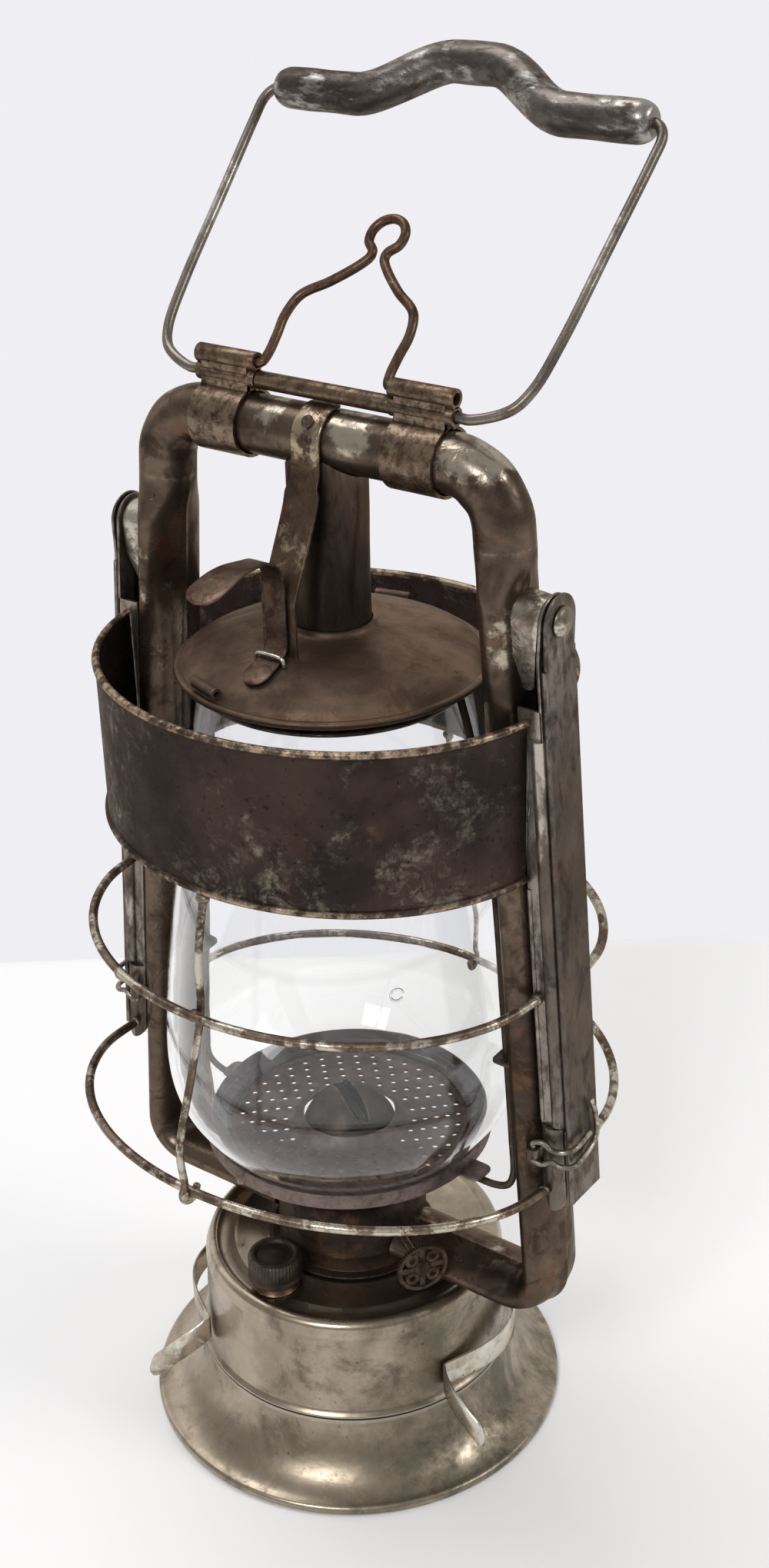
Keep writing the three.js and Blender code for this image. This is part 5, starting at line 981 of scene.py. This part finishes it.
# A folded channel risen along the rail's lean, its ear, and a rolled lip along the front edge
def railPieces():
    half, flange, bend = guard["railHalf"], guard["flange"], pivotZ - earDrop
    channel = fillet([(0, -half), (sheet, -half), (sheet, half + sheet, 0.9), (-flange, half + sheet),
                      (-flange, half), (0, half, 0.3)], 0.3)
    foot = [guard["railFoot"], 150, 200, 250]
    lip = risen(circle(0.2, 0.05 - half, 0.85, 12), foot + [bend - 3], railX)
    shell = merged(earPlate(7.6, -half, half, railSpan), risen(channel, foot + [bend], railX), lip)
    both("sideRail", shell, tin["rail"], onFrame, "side_rail")


tongue = {"top": 137.5, "foot": 110, "half": 3.5, "x": -3.95, "bow": 2, "end": 4.4}


# The tongue is a channel bowed forward by bow (1 - t^2), whose width closes in a quarter round at its foot
def tonguePart():
    foot, end = tongue["foot"], tongue["end"]
    tip = foot + end - end * np.sin(np.linspace(0.2, 1.5, 8))
    z = np.append(np.linspace(tongue["top"] + 1, foot + 4.5, 6), tip)
    share = roundEnd(end - np.maximum(0, foot + end - z), end, 0.03)[:, None]
    t = np.append(np.linspace(-1, 1, 15), np.linspace(1, -1, 15)) * share
    front = guard["stripFront"] + np.repeat((0, sheet), 15)
    section = np.stack([tongue["half"] * t + tongue["x"], front - tongue["bow"] * (1 - t * t)], -1)
    return risen(section, z, stripX)


# Front strip: ear, web and face of an angle, a bead and a roll down it, the tongue, and the clasp's lug
def stripPieces():
    front, flange = guard["stripFront"], guard["flange"]
    back, low, bandTop = front + guard["webDepth"], tongue["top"], guard["bandHigh"] + 2.4
    web = fillet([(-sheet, front), (0, front), (0, back), (-sheet, back)], 0.25)
    face = fillet([(-flange, front), (0, front), (0, front + sheet), (-flange, front + sheet)], 0.25)
    bead, roll = arc(-1.785, -7.55, 2.1, 180, 360, 15), circle(0.5 - flange, -7.7, 0.8, 12)
    (pinX, pinY), z = clasp["pin"], clasp["height"]
    sleeve = [(1.15, -1.5), (1.95, -1.5), (2.05, -1.3), (2.05, 1.3), (1.95, 1.5), (1.15, 1.5)]
    lug = moved(lathe(sleeve, 28, clasp["pin"]), None, (0, 0, z))
    link = slab(box2(1.26, 3.9, 0.3), 3, lambda a, b, t: (pinX + 1.6 + a, b - 10, z - 1.5 + t), 0.2)
    shell = merged(earPlate(7.3, front, back, railSpan - 2 * sheet),
                   risen(web, [low, 180, 230, pivotZ - earDrop], stripX),
                   risen(face, [low, 180, 230, bandTop], stripX),
                   risen(bead, [guard["beadFoot"], 180, 230, bandTop - 8.4], stripX),
                   risen(roll, [low + 2, 180, guard["bandLow"] - 2], stripX), tonguePart(), lug, link)
    both("frontStrip", shell, tin["strip"], ("front_guard",) * 2, "front_strip")


# A section of (out, z) points carried round an ellipse along its normals, from one strip to the other, with
# slow dents of 0.22 sin(7a + z/9) sin(pi share of the height)
def bandPiece(name, side, body, node, back):
    low, high, halfX, halfY, rim = (guard["band" + key] for key in ("Low", "High", "X", "Y", "Rim"))
    section = [(0, low + rim), *arc(0.65, low + rim, rim, -150, 80, 8),
               *((sheet, z) for z in (low + 2.9, low + 6, (low + high) / 2, high - 6, high - 2.9)),
               *arc(0.65, high - rim, rim, -80, 150, 8), (0, high - rim), (0, (low + high) / 2)]
    out, z = np.array(section, float).T
    start = math.asin(back / halfY)
    a = np.linspace(start, math.pi - start, 120)[:, None]
    normal = unit(pointsOf(np.cos(a) * halfY, side * np.sin(a) * halfX, 0))
    dent = guard["dent"] * np.sin(7 * a + z / 9) * np.sin(math.pi * (z - low) / (high - low))
    middle = pointsOf(halfX * np.cos(a), side * halfY * np.sin(a), z)
    put(name, loft(middle + normal * (out + dent)[..., None]), bandTin, body, node, 50)


# Cage: a half's name, side and body, where its band and upper hoop end in y, the half widths of upper and lower
# hoop, where the lower one ends in y, and its sag
cage = {"upperZ": 181, "upperReach": 70, "lowerZ": 125, "lowerReach": 77, "hoop": 1.4, "wire": 1.15, "curl": 3.19,
        "halves": (("front", -1, "front_guard", 8.6, 75.49, 80.15, 10.6, 8),
                   ("rear", 1, "frame", 8.75, 78.49, 82.56, 8.75, 0))}


# Half an ellipse between two ends: x = half width cos a, y = back + (reach - back) sin a, sinking by
# sag (1 - sin a)
def hoop(side, halfWidth, reach, z, back, sag=0):
    a = math.pi * np.arange(13) / 12
    line = pointsOf(halfWidth * np.cos(a), side * (back + (reach - back) * np.sin(a)), z - sag * (1 - np.sin(a)))
    return tube(line, cage["hoop"], 16, 8)


# Each half is a band, two hoops and a wire that hangs from the band, bows out over the upper hoop and curls
# round the lower one
def cagePieces():
    c = cage
    reach, low, curl = c["lowerReach"], c["lowerZ"], c["curl"]
    inside, a = c["upperReach"] - curl, np.radians((-50, -5, 40, 85, 130, 175))
    for name, side, body, back, upperHalf, lowerHalf, lowerBack, sag in c["halves"]:
        bandPiece(name + "Band", side, body, name + "_band", back)
        drop = blob((0, side * 69, c["upperZ"]), (2.1, 1.9, 1.8))
        upper = merged(hoop(side, upperHalf, c["upperReach"], c["upperZ"], back), drop)
        put(name + "HoopUpper", upper, tin["wire"], body, name + "_hoop_upper")
        lower = hoop(side, lowerHalf, reach, low, lowerBack, sag)
        put(name + "HoopLower", lower, tin["wire"], body, name + "_hoop_lower")
        hang = [(62.45, 215.6), (inside - 0.7, 198.3), (inside, c["upperZ"]), (inside + 5.2, 164.2),
                (reach + curl * 0.9, 140.7), *zip(reach + curl * np.cos(a), low - curl * np.sin(a))]
        wire = tube(inYZ(hang) * (1, side, 1), c["wire"], 14, 8)
        put(name + "GuardWire", wire, tin["wire"], body, name + "_guard_wire")


# Drops of solder where hoops, bands and wires meet: centre and radii of each
solder = {"front": (((75.2, -9.4, 181), (1.9, 1.5, 1.7)), ((-75.2, -9.4, 181), (1.9, 1.5, 1.7)),
                    ((79.8, -11.2, 117.2), (1.7, 1.4, 1.6)), ((-79.8, -11.2, 117.2), (1.7, 1.4, 1.6)),
                    ((0, -62.6, 215.9), (2.3, 1.7, 1.5)), ((0, -79.5, 124.6), (1.7, 1.4, 2.0))),
          "rear": (((78.2, 9.6, 181), (1.8, 1.4, 1.7)), ((-78.2, 9.6, 181), (1.8, 1.4, 1.7)),
                   ((0, 62.6, 215.9), (2.2, 1.6, 1.5)))}


# Each end's drops become one piece of flattened balls
def solderPieces():
    for name, end, body in (("solderFront", "front", "front_guard"), ("solderRear", "rear", "frame")):
        put(name, merged(*(blob(*drop) for drop in solder[end])), tin["rivet"], body, None)


clasp = {"wire": 0.85, "height": 131, "spread": 3, "hook": 13, "back": 4.35, "pin": (76.7782, -12.85)}


# One wire: two strands crimp in and out from the lug's pin to the rail's outside, and meet behind it in a hook
def claspPieces():
    r, z, spread, hook = clasp["wire"], clasp["height"], clasp["spread"], clasp["hook"]
    pinX, pinY = clasp["pin"]
    outside = float(railX(z - spread)) + sheet + gap * 2 + r
    front, back = guard["stripFront"] - tongue["bow"] - gap - r * 1.8, clasp["back"]
    x = (pinX, pinX + r * 3, (pinX + outside) / 2, outside - r * 3, outside)
    y = (pinY, (pinY + front) / 2, front, front, front + r * 3)
    strand = lambda sign: pointsOf(x, y, z + sign * (spread + np.array((0, 1, -1, -0.5, 0)) * r))
    lean = lambda rise: outside - (rise + spread) * math.tan(railSplay)
    upper = [(outside, 0, z + spread * 1.2), *strand(1)[::-1]]
    pin = [(pinX, pinY, z + spread * 0.6), (pinX, pinY, z - spread * 0.6)]
    tail = [(outside, 0, z - spread * 0.8), (lean(0), back, z), (lean(hook * 0.6), back, z + hook * 0.6),
            (lean(hook), back * 0.6, z + hook)]
    wire = tube([*upper, *pin, *strand(-1), *tail], r, 12, 8)
    both("clasp", wire, tin["rivet"], ("clasp_r", "clasp_l"), "clasp")


# Pivot: half width and foot of the boss, and the rivet's shank, head and crown
pivot = {"boss": 6.46, "foot": [(-6.46, -9), (-3.4, -20), (3.4, -20), (6.46, -9)], "shank": 2, "head": 4.3,
         "crown": 1.9}


# A boss pressed from the tube: rings of one outline, full at the rivet, which run back into the tube by 0.28
# of the depth below it. The rivet's head is a low dome: radius cos a, height sin a.
def pivotPieces():
    high, face = railSpan - 2 * sheet - gap, railSpan + sheet + gap
    outline = [*arc(0, 0, pivot["boss"], 0, 180, 17), *pivot["foot"]]
    a, b = np.array(outline, float).T
    rings = ((tubeX(pivotZ) + 4, 1.08), (high - 2.2, 1.0), (high - 0.4, 0.96), (high, 0.88))
    x, scale = np.array(rings).T[..., None]
    back = np.maximum(0, -6 - b) * 0.28 * np.arange(4)[:, None] / 3
    boss = loft(pointsOf(x - back, a * scale, pivotZ + b * scale))
    both("earBracket", boss, tin["boss"], onFrame, "ear_bracket")
    t, head = np.linspace(0.1, 1.45, 8), pivot["head"]
    rivet = [(0, 66.7), (pivot["shank"], 66.7), (pivot["shank"], face), (head - 0.05, face), (head, face + 0.15),
             *zip(head * np.cos(t), face + 0.1 + pivot["crown"] * np.sin(t)), (0, face + 2)]
    shell = moved(lathe(rivet, 40), rotation("y", 90), (0, 0, pivotZ))
    both("pivotRivet", shell, tin["rivet"], onFrame, "pivot_rivet")


# Guide brackets
guide = {"z": 150, "half": 4, "thick": 1.6, "drop": 10.2, "flange": 1.1}


# A flat arm with a rounded nose, and a flange whose x leans by the tube's tangent times the drop
def guidePieces():
    z, half, drop = guide["z"], guide["half"], guide["drop"]
    nose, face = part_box("guide_bracket_right")[0][0] / mm, tubeX(z) - tubes["halfX"]
    outline = fillet([(nose, -half, 1.8), (face + 0.6, -half), (face + 0.6, half), (nose, half, 1.8)], 0.3, 5)
    arm = slab(outline, guide["thick"], lambda a, b, t: (a, b, z - 0.8 + t), 0.3)
    outline = fillet([(-half, z - drop), (half, z - drop), (half, z + 0.8), (-half, z + 0.8)], 1.2, 4)
    leaning = lambda a, b, t: (face - 1.3 + t + (z - b) * math.tan(tubeSplay), a, b)
    shell = merged(arm, slab(outline, guide["flange"], leaning, 0.25))
    both("guideBracket", shell, tin["dark"], onFrame, "guide_bracket")


railPieces()
stripPieces()
cagePieces()
solderPieces()
claspPieces()
pivotPieces()
guidePieces()
print("guard made")

# Bails and brackets: the sleeves' heights, and (x, z) lines of the wires' right halves as they stand upright
bails = {"lean": 45, "lower": 342.6, "upper": 347.4, "inner": 22.5, "width": 20.5, "wrap": (9.72, 8.82),
         "neck": 2.9,
         "arm": ((57.3, 92), (62.3, 92), (64.55, 90.55), (66, 87.65), (66, 80.96), (64.55, 53.36), (63.1, 25.76),
                 (61, 11.04), (57.375, 4.6), (47.35, 0), (43, 0), (22.5, 0)), "armWire": 1.45,
         "axle": [(1.8, -22.2), (2.4, -22.2), (2.5, -22), (2.5, 22), (2.4, 22.2), (1.8, 22.2)],
         "hanger": ((39.9, 0), (22.5, 0), (21.15, 0.34), (20.4, 2.7), (20.4, 8.8), (20.8, 15.4), (18.77, 22),
                    (11.22, 27.5), (4.32, 33.75), (2.4, 36.5)), "hangerWire": 1.35, "eye": 5.5}
grip = {"base": 92, "hump": 13.5, "humpHalf": 6, "slope": 29, "half": 62, "radius": 6, "ripple": 0.025}


# Turned back about x by the lean, then raised to the sleeve
def leaned(shell, z):
    return moved(shell, rotation("x", -bails["lean"]), (0, 0, z))


# A strap wraps the top tube by two arcs, and its ends rise into two sleeves joined by a web
def bracketPieces():
    start, end = bails["inner"], bails["inner"] + bails["width"]
    middle, half, neck = (start + end) / 2, bails["width"] * 0.4, bails["neck"]
    outer, inner = bails["wrap"]
    outline = [(neck, 344), *arc(0, topZ, outer, 442, 98, 59), (-neck, 344), (0.9 - neck, 343),
               *arc(0, topZ, inner, 98, 442, 59), (neck - 0.9, 343)]
    y, z = np.array(outline, float).T
    strip = loft(pointsOf(np.array(((middle - half,), (middle + half,))), y, z))
    sleeves = []
    for height, bore in ((bails["lower"], 1.8), (bails["upper"], 1.7)):
        wall = [(bore, start), (bore + 0.9, start), (bore + 1, start + 0.15), (bore + 1, end - 0.15),
                (bore + 0.9, end), (bore, end)]
        sleeves.append(moved(lathe(wall, 40), rotation("y", 90), (0, 0, height)))
    web = slab(box2(half * 2, 5.2, 0.4), 7, lambda a, b, t: (middle + a, b, 339 + t), 0.2)
    both("bailBracket", merged(strip, *sleeves, web), tin["bracket"], onFrame, "bail_bracket")


# The grip's axis falls from the hump to its ends by an eased slope. Its radius is half at the ends, grows by a
# quarter round, and ripples by 0.025 sin^2(x / 5.5).
def gripPiece():
    g = grip
    x = g["half"] * np.sin(np.linspace(-math.pi / 2, math.pi / 2, 90))
    height = g["base"] + g["hump"] * (1 - eased(np.abs(x), g["humpHalf"], g["humpHalf"] + g["slope"]))
    share = 0.5 + 0.5 * roundEnd(g["half"] - np.abs(x), 5, 0)
    radius = g["radius"] * share * (1 - g["ripple"] * np.sin(x / 5.5) ** 2)
    rings, _ = ringsAbout(pointsOf(x, 0, height), radius, 40, (0, 1, 0))
    put("bailGrip", leaned(loft(rings), bails["lower"]), tin["grip"], "bail", "bail_grip")


# Smooth wires through their right half, the hanger's eye as an arc, and the mirrored left half
def bailPieces():
    wire = tube(withMirror(inXZ(bails["arm"])), bails["armWire"], 16, 8)
    put("bailWire", leaned(wire, bails["lower"]), tin["bail"], "bail", "bail_wire")
    axle = moved(lathe(bails["axle"], 32), rotation("y", 90), (0, 0, bails["lower"]))
    put("axleTube", axle, tin["bracket"], "bail", "axle_tube")
    arm, eye = inXZ(bails["hanger"]), bails["eye"]
    loop = inXZ(arc(0, arm[-1, 2] + eye + bails["hangerWire"], eye, -62, 242, 8))
    wire = tube(np.vstack([arm, loop, arm[::-1] * (-1, 1, 1)]), bails["hangerWire"], 16, 8)
    put("hangerBail", leaned(wire, bails["upper"]), tin["bracket"], "hanger", "hanger_bail")


bracketPieces()
gripPiece()
bailPieces()
print("bails made")

# Floor and lamps in metres, and the camera in millimetres, pixels and degrees. The room's two strengths are in
# front and behind.
stage = {"floor": ((0.92, 0.917, 0.925), (0.94, 0.937, 0.945)), "size": 3.0, "edge": 0.262, "edgeR": 0.03,
         "turn": 37.66, "room": (0.36, 0.78), "roomColour": (1, 0.985, 0.97, 1), "wallSide": (-0.61, 0.79, 0),
         "backdrop": (0.865, 0.86, 0.9, 1)}
lamps = {"key": {"at": (0.56, -2.5, 2.4), "to": (0, 0, 0.2), "size": (1.0, 0.84), "watts": 41},
         "left": {"at": (-2.6, -0.2, 1.4), "to": (0, 0, 0.2), "size": (1.0, 2.2), "watts": 5,
                  "colour": (0.97, 0.985, 1)},
         "right": {"at": (2.4, 0.9, 2.0), "to": (0.1, 0.1, 0.1), "size": (1.0, 1.2), "watts": 26,
                   "colour": (1, 0.985, 0.96)},
         "top": {"at": (-1.2, 0.3, 3.0), "to": (0, 0, 0.2), "size": (2.0, 1.2), "watts": 29}}
photoCamera = {"focal": 2744.065, "rows": 2039, "azimuth": 37.663, "reach": 552.44, "high": 507.996,
               "pitch": 27.236, "yaw": -1.423, "roll": -1.394, "clip": (0.02, 30)}


# A pale table whose far edge lies behind the lantern: a flat, a quarter round and a short drop
def stagePieces():
    size, back, r = stage["size"], stage["edge"], stage["edgeR"]
    a = np.linspace(0.15, math.pi / 2, 12)
    line = [(-size, 0), (back, 0), *zip(back + r * np.sin(a), r * np.cos(a) - r), (back + r, -0.5)]
    y, z = np.array(line).T[..., None]
    start = 2 * np.arange(len(line) - 1)[:, None]
    mesh = bpy.data.meshes.new("table")
    mesh.from_pydata(pointsOf(np.array((-size, size)), y, z).reshape(-1, 3).tolist(), [],
                     (start + (0, 1, 3, 2)).tolist())
    mesh.shade_smooth()
    table = bpy.data.objects.new("table", mesh)
    table.rotation_euler[2] = math.radians(stage["turn"])
    bpy.context.scene.collection.objects.link(table)
    n = Nodes("pale table")
    n.link("Base Color", n.mix(n.ramp(n.noise(3, 3, 0.5), 0.3, 0.7), *stage["floor"]))
    n.link("Roughness", 0.7)
    n.link("Specular IOR Level", 0.2)
    n.link("Normal", n.bump(n.noise(900, 3), 0.1, 0.0004))
    mesh.materials.append(n.owner)


# Area lamps, each turned to look from where it stands to its target
def lampPieces():
    for name, lamp in lamps.items():
        data = bpy.data.lights.new(name, "AREA")
        data.shape, (data.size, data.size_y) = "RECTANGLE", lamp["size"]
        data.energy, data.color = lamp["watts"], lamp.get("colour", (1, 1, 1))
        light = bpy.data.objects.new(name, data)
        light.location = lamp["at"]
        light.rotation_euler = (Vector(lamp["to"]) - Vector(lamp["at"])).to_track_quat("-Z", "Y").to_euler()
        bpy.context.scene.collection.objects.link(light)


# The room is dim in front and pale behind: its strength grows with the direction's share towards the wall's
# side. The camera, and what it sees through the globe, gets the pale backdrop instead.
def roomPiece():
    world = bpy.data.worlds.new("soft room")
    bpy.context.scene.world = world
    n = Nodes("soft room", world)
    inputs = {0: n.coords, 1: stage["wallSide"]}
    towards = n.node("ShaderNodeVectorMath", inputs, operation="DOT_PRODUCT").outputs["Value"]
    n.link("Color", stage["roomColour"])
    n.link("Strength", n.ramp(towards, 0.0, 0.8, *stage["room"]))
    seen = n.node("ShaderNodeBackground", {"Color": stage["backdrop"]})
    ray = n.node("ShaderNodeLightPath").outputs
    either = n.math("MAXIMUM", ray["Is Camera Ray"], ray["Is Transmission Ray"])
    pick = n.node("ShaderNodeMixShader", {0: either, 1: n.shader.outputs[0], 2: seen.outputs[0]})
    n.feed(n.tree.nodes["World Output"].inputs["Surface"], pick.outputs[0])


# The camera stands at its azimuth and reach, looks back by azimuth + yaw and down by the pitch, and is then
# rolled: right and up turn together about the view
def cameraPiece():
    c = photoCamera
    azimuth, pitch, roll = (math.radians(c[key]) for key in ("azimuth", "pitch", "roll"))
    look = azimuth + math.radians(c["yaw"])
    forward = np.array((-math.sin(look) * math.cos(pitch), math.cos(look) * math.cos(pitch), -math.sin(pitch)))
    right = np.array((math.cos(look), math.sin(look), 0))
    up = np.cross(right, forward)
    right, up = math.cos(roll) * right + math.sin(roll) * up, math.cos(roll) * up - math.sin(roll) * right
    data = bpy.data.cameras.new("photo camera")
    data.sensor_fit, data.sensor_height, data.lens = "VERTICAL", 36, 36 * c["focal"] / c["rows"]
    data.clip_start, data.clip_end = c["clip"]
    camera = bpy.data.objects.new("photo camera", data)
    place = Matrix(np.stack([right, up, -forward], 1).tolist()).to_4x4()
    place.translation = Vector((c["reach"] * math.sin(azimuth), -c["reach"] * math.cos(azimuth), c["high"])) * mm
    camera.matrix_world = place
    bpy.context.scene.collection.objects.link(camera)
    bpy.context.scene.camera = camera


stagePieces()
lampPieces()
roomPiece()
cameraPiece()
bpy.context.scene.view_settings.view_transform = "Standard"
print("stage made")
